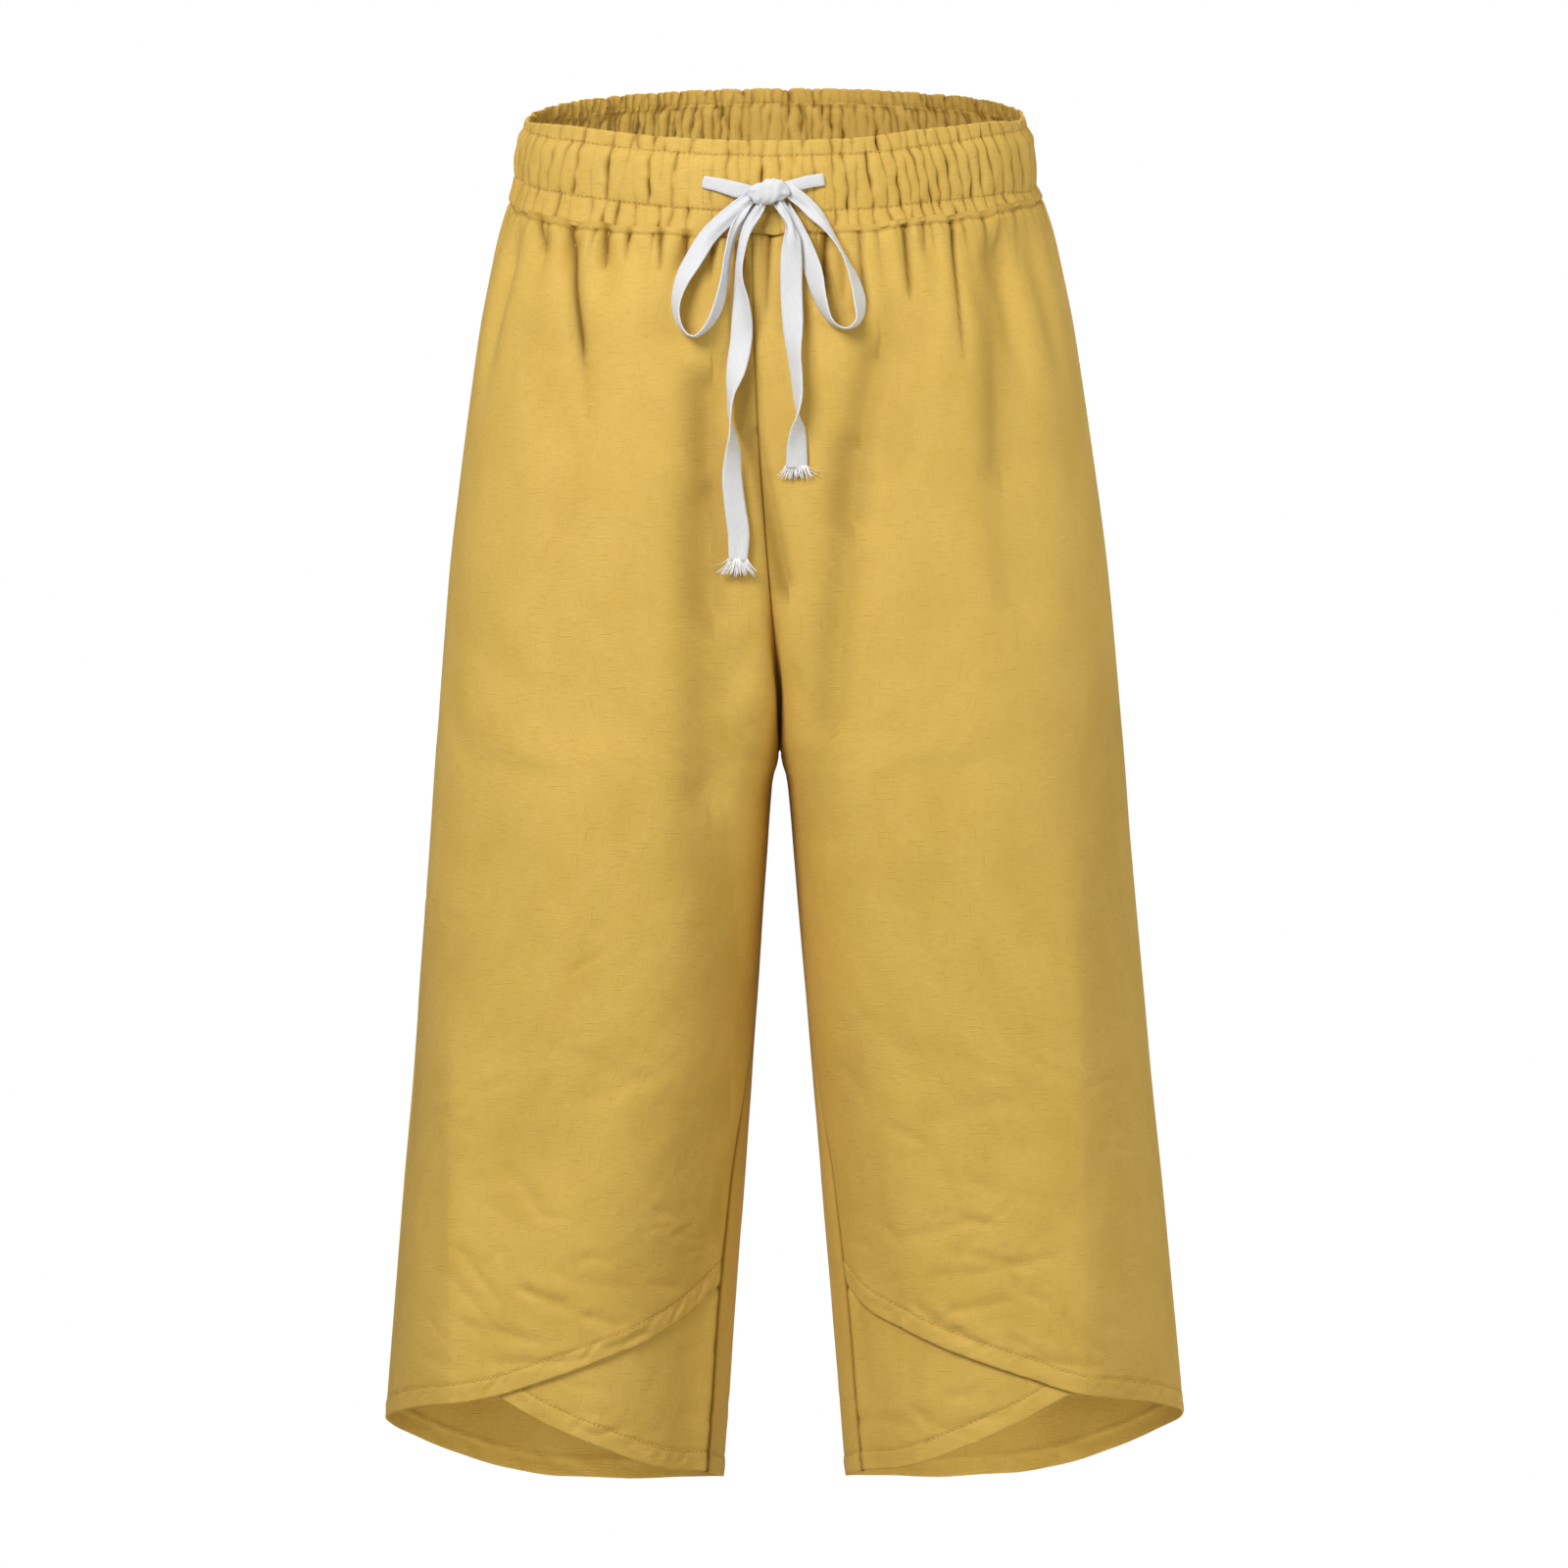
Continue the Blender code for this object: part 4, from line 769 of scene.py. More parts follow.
def tuck_depth(panel, u, z):
    """How far the folds below the waistband draw the cloth in."""
    total = np.zeros_like(z)
    for tuck in named(TUCK_COLUMNS, TUCKS[panel]):
        off = (u - tuck["u"]) * PANEL_WIDTH / tuck["reach"]
        below = (BODY_TOP - z) / tuck["length"]
        fade = TUCK_START + (1.0 - TUCK_START) * smooth_step(below * 4.0)
        fade = fade * (1.0 - smooth_step(below - 0.2))
        total += tuck["depth"] * bell(off) * fade
    return total


def small_creases(face, side):
    """Short uneven creases, most of them low on the leg and lying nearly level."""
    rng = np.random.default_rng(90 + 10 * face + side)
    rows = []
    low, high = SMALL_CREASE_HEIGHTS
    for _ in range(SMALL_CREASES):
        x = side * rng.uniform(*SMALL_CREASE_PLACES)
        z = low + (high - low) * rng.uniform() ** SMALL_CREASE_CROWDING
        half = rng.uniform(*SMALL_CREASE_LENGTHS) / 2.0
        slope = math.radians(rng.normal(0.0, SMALL_CREASE_SLOPE))
        dx, dz = half * math.cos(slope), half * math.sin(slope)
        deep = rng.uniform(*SMALL_CREASE_DEPTHS)
        rows.append((x - dx, z - dz, x + dx, z + dz, rng.uniform(*SMALL_CREASE_REACHES),
                     deep, deep * rng.uniform(0.5, 1.0)))
    return tuple(rows)


def wrinkle_depth(face, side, x, z):
    """Crisp creases with a soft shoulder on both sides: how far in, and how sharp."""
    total, crisp = np.zeros_like(x), np.zeros_like(x)
    for crease in named(WRINKLE_COLUMNS, WRINKLES[face] + small_creases(face, side)):
        off, t = off_line(x, z, crease)
        depth = crease["deep_top"] * (1.0 - t) + crease["deep_bottom"] * t
        reach = crease["reach"]
        if crease["z_top"] > HANGING_FROM:
            reach = reach * (1.0 + 0.8 * t)
            ends = smooth_step((1.0 - t) * 3.0)
            sharp = decay(off, np.maximum(0.35 * reach, 0.9))
        else:
            ends = smooth_step(np.minimum(t, 1.0 - t) * 5.0)
            sharp = 0.3 * decay(off, 0.5 * reach)
        valley = 0.75 * bell(off, reach) - 0.3 * bell(off / reach - 2.4, 1.3)
        total += depth * ends * (valley + 0.6 * sharp)
        crisp += np.maximum(depth, 0.0) * ends * sharp
    return total, crisp


def waist_angle(x, y, side):
    """Angle round the waist from the centre front towards the left, in radians."""
    return np.arctan2(x / side, -y / (side * BAND_DEPTH_RATIO))


def waist_run(angle):
    """Distance round the waist, in millimetres, at each angle."""
    turn = np.linspace(-math.pi, 3.0 * math.pi, 1441)
    side = BAND_ROWS[3][1]
    steps = side * np.hypot(np.cos(turn), BAND_DEPTH_RATIO * np.sin(turn))
    run = np.cumsum(steps) * (turn[1] - turn[0])
    return np.interp(angle, turn, run - np.interp(0.0, turn, run))


def crease_places():
    """Every crease of the waistband: its angle and lean, its depths and its half width."""
    places = []
    for crease in named(CREASE_COLUMNS, FRONT_CREASES):
        start = math.asin(crease["x"] / CREASE_RADIUS)
        lean = crease["lean"] / (CREASE_RADIUS * max(math.cos(start), 0.35))
        depths = (round(crease[name] * share, 2)
                  for name, share in zip(CREASE_COLUMNS[2:], CREASE_SHARES))
        places.append((start, lean, *depths, crease["half_width"]))
    rng = np.random.default_rng(5)
    first, last = (math.radians(end) for end in BACK_CREASE_ENDS)
    steps = 1.0 + rng.uniform(-0.42, 0.42, BACK_CREASES)
    for angle in first + (last - first) * np.cumsum(steps) / steps.sum():
        depths = np.array(BACK_CREASE_DEPTHS) * rng.uniform(0.35, 1.25, 3)
        lean = rng.uniform(-1.0, 1.0) * BACK_CREASE_LEAN / BACK_CREASE_RADIUS
        places.append((angle, lean, *depths, rng.uniform(0.9, 1.25)))
    return places


CREASE_PLACES = crease_places()


def crease_field(angle, drop, radius):
    """Depth and sharpness of the waistband's creases, which change at the stitch rows."""
    blend = 2.0 * STITCH_BLEND
    ruffle = 1.0 - smooth_step((drop - UPPER_STITCHES + STITCH_BLEND) / blend)
    strip = smooth_step((drop - LOWER_STITCHES + STITCH_BLEND) / blend)
    channel = 1.0 - ruffle - strip
    total, crisp = np.zeros_like(angle), np.zeros_like(angle)
    for k, (start, lean, in_ruffle, in_channel, in_strip, half_width) in enumerate(CREASE_PLACES):
        wiggle = 0.5 * np.sin(drop * 0.21 + 2.3 * k) + 0.3 * np.sin(drop * 0.53 + 1.1 * k)
        place = start + lean * (drop / BAND_BOTTOM - 0.3) + wiggle / radius
        off = np.abs((angle - place + math.pi) % math.tau - math.pi) * radius / half_width
        uneven = 0.72 + 0.28 * np.sin(drop * 0.19 + 1.7 * k) + 0.2 * np.sin(drop * 0.47 + 2.9 * k)
        depth = (in_ruffle * ruffle + in_channel * channel + in_strip * strip) * uneven
        depth = np.where(off < CREASE_END, depth, 0.0)
        sharp = decay(off, 0.55)
        total += depth * (0.6 * bell(off, 2.4) + 1.1 * sharp)
        crisp += depth * (sharp + 0.15 * bell(off, 1.8))
    return total, crisp


def stitch_puckers(drop, run):
    """Small uneven puckers that the rows of stitching draw up, and the line they lie in."""
    total = np.zeros_like(run)
    for k, row in enumerate(BAND_STITCH_DROPS):
        off = drop - row
        beat = (run / PUCKER_PITCH + 0.9 * line_noise(run / 9.0, 31 + k)
                + 0.1 * off * line_noise(run / 14.0, 36 + k))
        swell = 0.6 + 0.4 * line_noise(run / 12.0, 33 + k)
        total += 0.5 * swell * (0.5 + 0.5 * np.sin(math.tau * beat)) * bell(off, 2.4)
        total += 0.6 * decay(np.abs(off), 0.7)
    return total


def seam_wave(angle):
    """How far the seam under the waistband wanders up and down."""
    run = angle * SEAM_SIDE
    return 0.7 * line_noise(run / 11.0, 41) + 0.4 * line_noise(run / 5.0, 42)


def band_grid(angle, drop):
    """Outer and inner points of the waistband, with its cloth coordinates and painted shade."""
    side, wall = (read_table(BAND_ROWS, BAND_COLUMNS, drop, name) for name in BAND_COLUMNS[1:])
    radius = side * np.sqrt(np.cos(angle) ** 2 + (BAND_DEPTH_RATIO * np.sin(angle)) ** 2)
    creases, crisp = crease_field(angle, drop, radius)
    run = waist_run(angle)
    from_upper, from_lower = drop - UPPER_STITCHES, drop - LOWER_STITCHES
    in_channel = smooth_step(from_upper / 3.0) * smooth_step(-from_lower / 3.0)
    puckers = stitch_puckers(drop, run)
    roll_under = 0.9 * decay(BAND_BOTTOM - drop, EDGE_ROLL)
    roll_top = 0.3 * decay(drop, EDGE_ROLL)
    soft = (0.45 * cell_noise(run / 11.0, drop / 14.0, 43)
            + 0.2 * cell_noise(run / 5.0, drop / 9.0, 44))
    outer_in = creases + puckers + roll_under + roll_top + soft + 0.25
    inner_in = wall + creases * (1.0 - 1.9 * in_channel) + soft - puckers - roll_top + 0.1
    inner_in = np.maximum(inner_in, outer_in + LINEN)
    edge_wave = -0.55 * creases * decay(drop, 4.0)
    hang = smooth_step(from_lower / (BAND_BOTTOM - LOWER_STITCHES))
    fall = drop - edge_wave + (seam_wave(angle) - 0.35 * creases) * hang
    risen = rise(angle, drop)
    # Painted shade on the inside of the back, deepest at the far corner.
    far_corner = 0.42 * bell(angle - math.radians(FAR_CORNER), 0.6)

    def points(inward):
        across = (side - inward) * np.sin(angle)
        deep = -(side * BAND_DEPTH_RATIO - inward) * np.cos(angle)
        return np.stack((across, deep, BAND_TOP - fall + WAIST_TILT * deep + risen), axis=-1)

    from_row = np.where(np.abs(from_upper) < np.abs(from_lower), from_upper, from_lower)
    # The painted shade lies in the creases and under the rolled lower edge, and inside also at
    # the far corner.
    return {"outer": points(outer_in), "inner": points(inner_in),
            "uv": np.stack((run, -drop), axis=-1), "sewing": np.stack((run, from_row), axis=-1),
            "painted_shade": np.clip(crisp / 2.3 + 0.25 * roll_under, 0.0, 1.0),
            "inner_painted_shade": np.clip(crisp / 2.3 + far_corner, 0.0, 1.0)}


def rumple(u_mm, z, seed_shift):
    """Soft unevenness of hanging linen."""
    total = np.zeros_like(z)
    for cell in named(RUMPLE_COLUMNS, RUMPLES):
        seed = cell["seed"] + seed_shift
        warp = 0.35 * cell_noise(u_mm / 70.0, z / 70.0, seed + 50)
        total += cell["height"] * cell_noise(u_mm / cell["across"] + warp,
                                             z / cell["down"] + warp, seed)
    return total


class Panel:
    """A panel's grid of outer and inner points, by place along it and height."""

    def __init__(self, face, side, u, z, hem, under=False):
        self.face, self.side, self.u, self.z = face, side, u, z
        self.sheet = SHEETS[panel_name(face, side)]
        self.seed_shift = 7 * (2 + face) + 3 * side
        self.length = self.sheet.length(z)
        self.from_start, self.from_end = u * self.length, (1.0 - u) * self.length
        self.normal = self.joined_normals()
        self.run, self.from_hem = self.measure_hem(hem)
        line, turned = self.from_hem - HEM_DEPTH, self.share_turned()
        point = self.sheet.points(u, z)
        dip, crisp, shade = self.body_relief(point[..., 0])
        seams, seam_painted_shade = self.seam_relief()
        dip = self.with_hem(dip + seams, line, turned)
        shade = PETAL_SHADE * shade if under else shade
        # Painted shade in the troughs and crisp creases, along the seams and along the hem's
        # stitch line.
        painted_shade = np.maximum(0.5 * crisp, shade) + seam_painted_shade + 0.2 * decay(np.abs(line), 0.7)
        # Painted shade beside the right back's inseam, which faces away from the key light.
        if face == BACK and side == RIGHT:
            painted_shade = painted_shade + 0.2 * bell(self.from_start, 16.0) * begun(CROTCH, z)
        if under:
            dip = dip + self.under_inset()
        else:
            angle = waist_angle(point[..., 0], point[..., 1], SEAM_SIDE)
            # The relief behind the waistband, and painted shade in its gathers and under its
            # edge.
            relief, drawn = self.waist_relief(angle)
            dip = dip + relief
            painted_shade = painted_shade + drawn
            below = np.maximum(BODY_TOP - z, 0.0)
            point[..., 2] -= seam_wave(angle) * decay(below, 12.0)
            point[..., 2] += seam_rise(point[..., 0], point[..., 1], below)
        thick = LINEN + HEM_EXTRA * turned - 0.35 * bell(self.from_hem, 0.5)
        outer = point - self.normal * dip[..., None]
        painted_shade = np.clip(painted_shade, 0.0, 1.0)
        self.grids = {
            "outer": outer, "inner": outer - self.normal * thick[..., None],
            "uv": np.stack(((u - 0.5) * self.length, z), axis=-1),
            "sewing": np.stack((self.run, line), axis=-1),
            "inner_sewing": np.stack((self.run, line + HEM_DEPTH), axis=-1),
            "painted_shade": painted_shade, "inner_painted_shade": INNER_SHADE * painted_shade,
        }

    def joined_normals(self):
        """Outward directions that turn, close to a seam, to the middle of both panels' ones."""
        z, first = self.z, np.zeros_like(self.u)
        last = first + 1.0
        mirror = SHEETS[panel_name(self.face, -self.side)].normals(first, z)
        behind = SHEETS[panel_name(-self.face, self.side)]
        beside = np.where((z >= CROTCH)[..., None], mirror, behind.normals(first, z))
        start = self.sheet.normals(first, z) + beside
        end = self.sheet.normals(last, z) + behind.normals(last, z)
        normal = self.sheet.normals(self.u, z)
        for away, middle in ((self.from_start, start), (self.from_end, end)):
            middle = middle / np.maximum(np.linalg.norm(middle, axis=-1, keepdims=True), 0.05)
            share = bell(away, SEAM_TURN)[..., None]
            normal = normal * (1.0 - share) + middle * share
        return normal / np.linalg.norm(normal, axis=-1, keepdims=True)

    def measure_hem(self, hem):
        """Distance along the hem of each column, and the distance of every point from it."""
        across = self.u[-1] * self.length[-1]
        run = np.cumsum(np.hypot(np.diff(across), np.diff(hem[-1])))
        slope = np.gradient(hem[-1]) / np.gradient(across)
        return (np.tile(np.concatenate(([0.0], run)), (len(self.z), 1)),
                (self.z - hem) / np.sqrt(1.0 + slope ** 2))

    def share_turned(self):
        """1 where the hem is turned up and 0 above it."""
        return smooth_step((HEM_DEPTH + 0.4 - self.from_hem) / 0.8)

    def body_relief(self, x):
        """Troughs, folds, wrinkles and rumple: how far in, how sharp and how shaded."""
        face, side, u, z = self.face, self.side, self.u, self.z
        wrinkles, crisp = wrinkle_depth(face, side, x, z)
        dip, shade = trough_depth(face, x, z)
        dip = dip * np.sin(math.pi * np.clip(u, 0, 1)) ** 0.5
        dip = dip + tuck_depth(panel_name(face, side), u, z) + wrinkles + CLOTH_INSET
        lower_leg = 0.9 + 0.7 * begun(LOWER_LEG, z, 150.0)
        facing = 0.2 + 0.8 * np.abs(self.normal[..., 1])
        soft = rumple(self.from_start, z, self.seed_shift) * lower_leg * facing
        from_edge = np.minimum(self.from_start, self.from_end)
        return dip + soft * smooth_step(from_edge / RUMPLE_EDGE), crisp, shade

    def with_hem(self, dip, line, turned):
        """The depth with the hem's line of stitches, thick turning and slanting puckers."""
        lean = self.run + 0.8 * self.from_hem * self.side * self.face
        roping = cell_noise(lean / 5.0, self.from_hem / 12.0, 71 + self.seed_shift)
        dip = dip + 0.55 * decay(np.abs(line), 0.8) - 0.25 * turned
        dip = dip + 0.6 * roping * bell(line + 3.5, 4.5)
        return dip + 0.3 * bell(self.from_hem, 0.5)

    def seam_relief(self):
        """Seams draw the cloth in; below the crotch the back is pressed flat beside them."""
        z, from_start, from_end = self.z, self.from_start, self.from_end
        leg = begun(CROTCH + 10.0, z)
        deep = CENTRE_SEAM_DEPTH * (1.0 - leg) + INSEAM_DEPTH * leg
        wide = SEAM_WIDTH + (3.0 * leg if self.face == BACK else 0.0)
        valley = bell(from_start, 14.0) * (1.0 - leg)
        side_seam = decay(from_end, SEAM_WIDTH)
        relief = deep * decay(from_start, wide) + SIDE_SEAM_DEPTH * side_seam
        relief = relief + CENTRE_VALLEY_DEPTH * valley * begun(BODY_TOP, z)
        # Painted shade along the seams, wider and darker on the legs, and at the side seam; more
        # in the back's centre valley and beside the right front's centre seam, less low on the
        # left leg's front.
        painted_shade = (0.35 + 0.65 * leg) * bell(from_start, SEAM_WIDTH + 1.3 * leg) + 0.25 * side_seam
        if self.face == BACK:
            painted_shade = painted_shade + 0.2 * valley * begun(BACK_VALLEY_TOP, z)
        elif self.side == LEFT:
            painted_shade = painted_shade * (1.0 - 0.6 * leg * smooth_step((z - PETAL_START) / 120.0))
        else:
            beside = 0.5 * decay(from_start, 7.0) * (1.0 - leg)
            painted_shade = painted_shade + beside * begun(FRONT_SHADE_TOP, z)
        return relief, painted_shade

    def under_inset(self):
        """The under petal lies inside the outer front, and comes up to the seam below it."""
        outer_hem = read_table(HEM_ROWS, HEM_COLUMNS, self.u, "outer")
        ease = smooth_step(1.0 - self.u / 0.06) * smooth_step((outer_hem - self.z - 0.5) / 5.0)
        return (CLOTH + UNDER_GAP) * (1.0 - ease)

    def waist_relief(self, angle):
        """The cloth goes up behind the waistband, drawn in at each crease of its lower strip."""
        below = BODY_TOP - self.z
        relief = BEHIND_BAND * decay(np.maximum(below + 0.3, 0.0), 1.2)
        radius = np.hypot(SEAM_SIDE * np.cos(angle), SEAM_SIDE * BAND_DEPTH_RATIO * np.sin(angle))
        shallow = (below < GATHERS_END) & (below >= 0.0)
        drawn, crisp = np.zeros_like(below), np.zeros_like(below)
        drops = np.full(int(shallow.sum()), BAND_BOTTOM)
        drawn[shallow], crisp[shallow] = crease_field(angle[shallow], drops, radius[shallow])
        fade = decay(np.maximum(below, 0.0), GATHERS_FADE)
        # The second value is painted shade in the gathers and under the waistband's edge.
        return relief + 0.9 * drawn * fade, 0.4 * crisp * fade + 0.75 * decay(np.abs(below), 0.45)

    def at(self, u, z):
        """Outer point and outward direction at a place along the panel and a height."""
        c = np.interp(u, self.u[-1], np.arange(self.u.shape[1]))
        j = min(int(c), self.u.shape[1] - 2)
        found = []
        for k in (j, j + 1):
            r = np.interp(-z, -self.z[:, k], np.arange(self.z.shape[0]))
            i = min(int(r), self.z.shape[0] - 2)
            found.append([grid[i, k] * (1 - r + i) + grid[i + 1, k] * (r - i)
                          for grid in (self.grids["outer"], self.normal)])
        share = c - j
        return [a * (1.0 - share) + b * share for a, b in zip(*found)]


def spaced_rows(start, end, step):
    """Even places from start to end, about a step apart."""
    count = max(int(round(abs(end - start) / step)), 1)
    return np.linspace(start, end, count + 1)


# Rows of points: how many from the last level one down to the hem, and how close they lie at it.
PLAIN_ROWS = {"back": 54, "outer": 46, "under": 36}
HEM_ROW_GAP = 0.8
SEAM_CROWDING = 1.25


def panel_grid(hem_name, top_rows, columns):
    """Places along and heights of a panel's grid, whose last rows follow its hem."""
    u = np.linspace(0.0, 1.0, columns + 1) ** SEAM_CROWDING
    hem = read_table(HEM_ROWS, HEM_COLUMNS, u, hem_name)
    near_hem = np.append(np.arange(HEM_DEPTH + 4.0, 0.3, -HEM_ROW_GAP), 0.0)
    stretch = 1.0 + 0.35 * decay(u, 0.12) * (hem_name == "outer")
    rows = [np.full_like(u, z) for z in top_rows]
    start = top_rows[-1]
    last_plain = hem + near_hem[0] * stretch
    shares = np.linspace(0.0, 1.0, PLAIN_ROWS[hem_name])
    rows += [start + (last_plain - start) * t for t in shares[1:-1]]
    rows += [hem + d * stretch for d in near_hem]
    if len(rows) % 2 == 0:
        rows.insert(-1, hem + near_hem[-2] * 0.5 * stretch)
    z = np.array(rows)
    return np.tile(u, (len(rows), 1)), z, np.tile(hem, (len(rows), 1))


def stitched_line(panel):
    """The row of stitches that holds a turned hem, one at each pitch along it."""
    run, u = panel.run[-1], panel.u[-1]
    marks = np.arange(0.0, run[-1], STITCH_PITCH)
    first, last = (share * run[-1] for share in HEM_STITCH_ENDS)
    marks = marks[(marks > first) & (marks < last)]
    places, directions = [], []
    for place in np.interp(marks, run, u):
        column = int(round(np.interp(place, u, np.arange(len(u)))))
        height = np.interp(-HEM_DEPTH, -panel.from_hem[:, column], panel.z[:, column])
        point, out = panel.at(place, float(height))
        places.append(point)
        directions.append(out)
    return [(a + n * HEM_STITCH_LIFT, b + n * HEM_STITCH_LIFT, n)
            for a, b, n in zip(places, places[1:], directions)]


# ---- Materials ----


class Nodes:
    """A material, with short ways to add nodes to it. Most give back their first output."""

    def __init__(self, name):
        self.material = bpy.data.materials.new(name)
        self.material.use_nodes = True
        self.tree = self.material.node_tree
        self.shader = self.tree.nodes["Principled BSDF"]

    def fill(self, node, inputs):
        """Link each socket to its input of the node, and set each plain value."""
        for name, value in inputs.items():
            if isinstance(value, bpy.types.NodeSocket):
                self.tree.links.new(value, node.inputs[name])
            else:
                node.inputs[name].default_value = value

    def add(self, kind, inputs=None, **settings):
        node = self.tree.nodes.new("ShaderNode" + kind)
        for name, value in settings.items():
            setattr(node, name, value)
        self.fill(node, inputs or {})
        return node.outputs

    def uv(self, layer):
        return self.add("UVMap", uv_map=layer)[0]

    def maths(self, operation, a, b=0.0):
        return self.add("Math", {0: a, 1: b}, operation=operation)[0]

    def times(self, a, b):
        return self.maths("MULTIPLY", a, b)

    def plus(self, a, b):
        return self.maths("ADD", a, b)

    def ranged(self, value, low, high):
        return self.add("MapRange", {"Value": value, "From Min": low, "From Max": high})[0]

    def mixed(self, share, a, b):
        return self.add("Mix", {0: share, 6: a, 7: b}, data_type="RGBA")[2]

    def bump(self, height):
        return self.add("Bump", {"Height": height, "Strength": 0.5, "Distance": 0.0002})[0]

    def streaks(self, coordinates, across, down, seed, detail=2.0):
        """Noise drawn out along one thread direction, as thick and thin yarn looks."""
        mapped = self.add("Mapping", {"Vector": coordinates, "Scale": (across, down, 1.0),
                                      "Location": (seed, 2.0 * seed, 0.0)})[0]
        return self.add("TexNoise", {"Vector": mapped, "Scale": 1.0, "Detail": detail,
                                     "Roughness": 0.55}, noise_dimensions="2D")[0]

    def threads(self, coordinates, pitch, axis):
        """Ridges of yarn that lie side by side along one axis."""
        place = self.add("SeparateXYZ", {"Vector": coordinates})[axis]
        return self.maths("SINE", self.times(place, math.tau / pitch))

    def stitch_pits(self):
        """A row of small hollows where the needle went through, along the sewing coordinates."""
        place = self.add("SeparateXYZ", {"Vector": self.uv("sewing")})
        beat = self.maths("COSINE", self.times(place[0], math.tau / (STITCH_PITCH * MM)))
        near = self.ranged(self.maths("ABSOLUTE", place[1]), *PIT_EDGES)
        return self.times(near, self.ranged(beat, -0.4, 0.9))


MUSTARD = (0.69, 0.443, 0.093, 1.0)
MUSTARD_PALE = (0.74, 0.497, 0.134, 1.0)
MUSTARD_DEEP = (0.56, 0.34, 0.046, 1.0)
THREAD = (0.74, 0.49, 0.13, 1.0)
# Painted shade: the dark colour towards which creases, seams, the hem's stitch line and the
# stitch pits are mixed.
MUSTARD_PAINTED_SHADE = (0.19, 0.085, 0.004, 1.0)
COTTON = (0.78, 0.785, 0.83, 1.0)
YARN = (0.93, 0.93, 0.95, 1.0)
COTTON_SHADE = (0.62, 0.63, 0.70, 1.0)
YARN_PITCH = 0.00078
PIT_EDGES = (0.0009, 0.0003)
TAPE_RIB, TAPE_CHEVRON, TAPE_THREAD = 0.0011, 0.0013, 0.0007


def make_linen():
    """Plain weave of uneven yarn: slubs along and across, a slight mottle and a dry sheen."""
    nodes = Nodes("mustard_linen")
    uv, times, ranged = nodes.uv("cloth"), nodes.times, nodes.ranged
    weft, warp = nodes.streaks(uv, 170.0, 1500.0, 3.0), nodes.streaks(uv, 1500.0, 150.0, 9.0)
    slubs = ranged(nodes.streaks(uv, 75.0, 1050.0, 17.0, 1.0), 0.66, 0.8)
    drops = ranged(nodes.streaks(uv, 900.0, 70.0, 27.0, 1.0), 0.66, 0.8)
    mottle = nodes.streaks(uv, 34.0, 22.0, 5.0, 4.0)
    flecks, pits = nodes.maths("MAXIMUM", slubs, drops), nodes.stitch_pits()
    # Painted shade read from the meshes, and painted shade in the stitch pits, which are also
    # bumped.
    painted_shade = nodes.add("Attribute", attribute_name="painted_shade")["Fac"]
    shade = nodes.maths("MAXIMUM", times(painted_shade, 0.9), times(pits, times(weft, 0.4)))
    tone = nodes.mixed(ranged(weft, 0.3, 0.7), MUSTARD, MUSTARD_PALE)
    for share, color in ((times(ranged(warp, 0.35, 0.75), 0.4), MUSTARD),
                         (times(ranged(mottle, 0.35, 0.75), 0.3), MUSTARD_DEEP),
                         (times(flecks, 0.22), MUSTARD_DEEP), (shade, MUSTARD_PAINTED_SHADE)):
        tone = nodes.mixed(share, tone, color)
    weave = times(nodes.threads(uv, YARN_PITCH, 0), nodes.threads(uv, YARN_PITCH, 1))
    height = nodes.plus(times(weave, 0.35), nodes.plus(weft, times(flecks, 1.4)))
    height = nodes.maths("SUBTRACT", nodes.plus(height, warp), times(pits, 2.0))
    nodes.fill(nodes.shader, {
        "Base Color": tone, "Normal": nodes.bump(height), "Roughness": ranged(weft, -1.6, 2.2),
        "Specular IOR Level": 0.17, "Sheen Weight": 0.03, "Sheen Roughness": 0.5,
        "Sheen Tint": (1.0, 0.82, 0.45, 1.0)})
    return nodes.material


def make_thread():
    """Sewing thread, a little uneven in colour."""
    nodes = Nodes("sewing_thread")
    place = nodes.add("TexCoord")["Object"]
    twist = nodes.add("TexNoise", {"Vector": place, "Scale": 900.0})[0]
    nodes.fill(nodes.shader, {"Base Color": nodes.mixed(twist, MUSTARD, THREAD),
                              "Roughness": 0.6})
    return nodes.material


def make_yarn():
    """Loose white cotton yarn, brighter than the pressed tape."""
    nodes = Nodes("white_cotton_yarn")
    fuzz = nodes.ranged(nodes.streaks(nodes.uv("cloth"), 900.0, 900.0, 4.0), 0.3, 0.75)
    nodes.fill(nodes.shader, {"Base Color": nodes.mixed(nodes.times(fuzz, 0.3), YARN, COTTON),
                              "Roughness": 0.9, "Sheen Weight": 0.3})
    return nodes.material


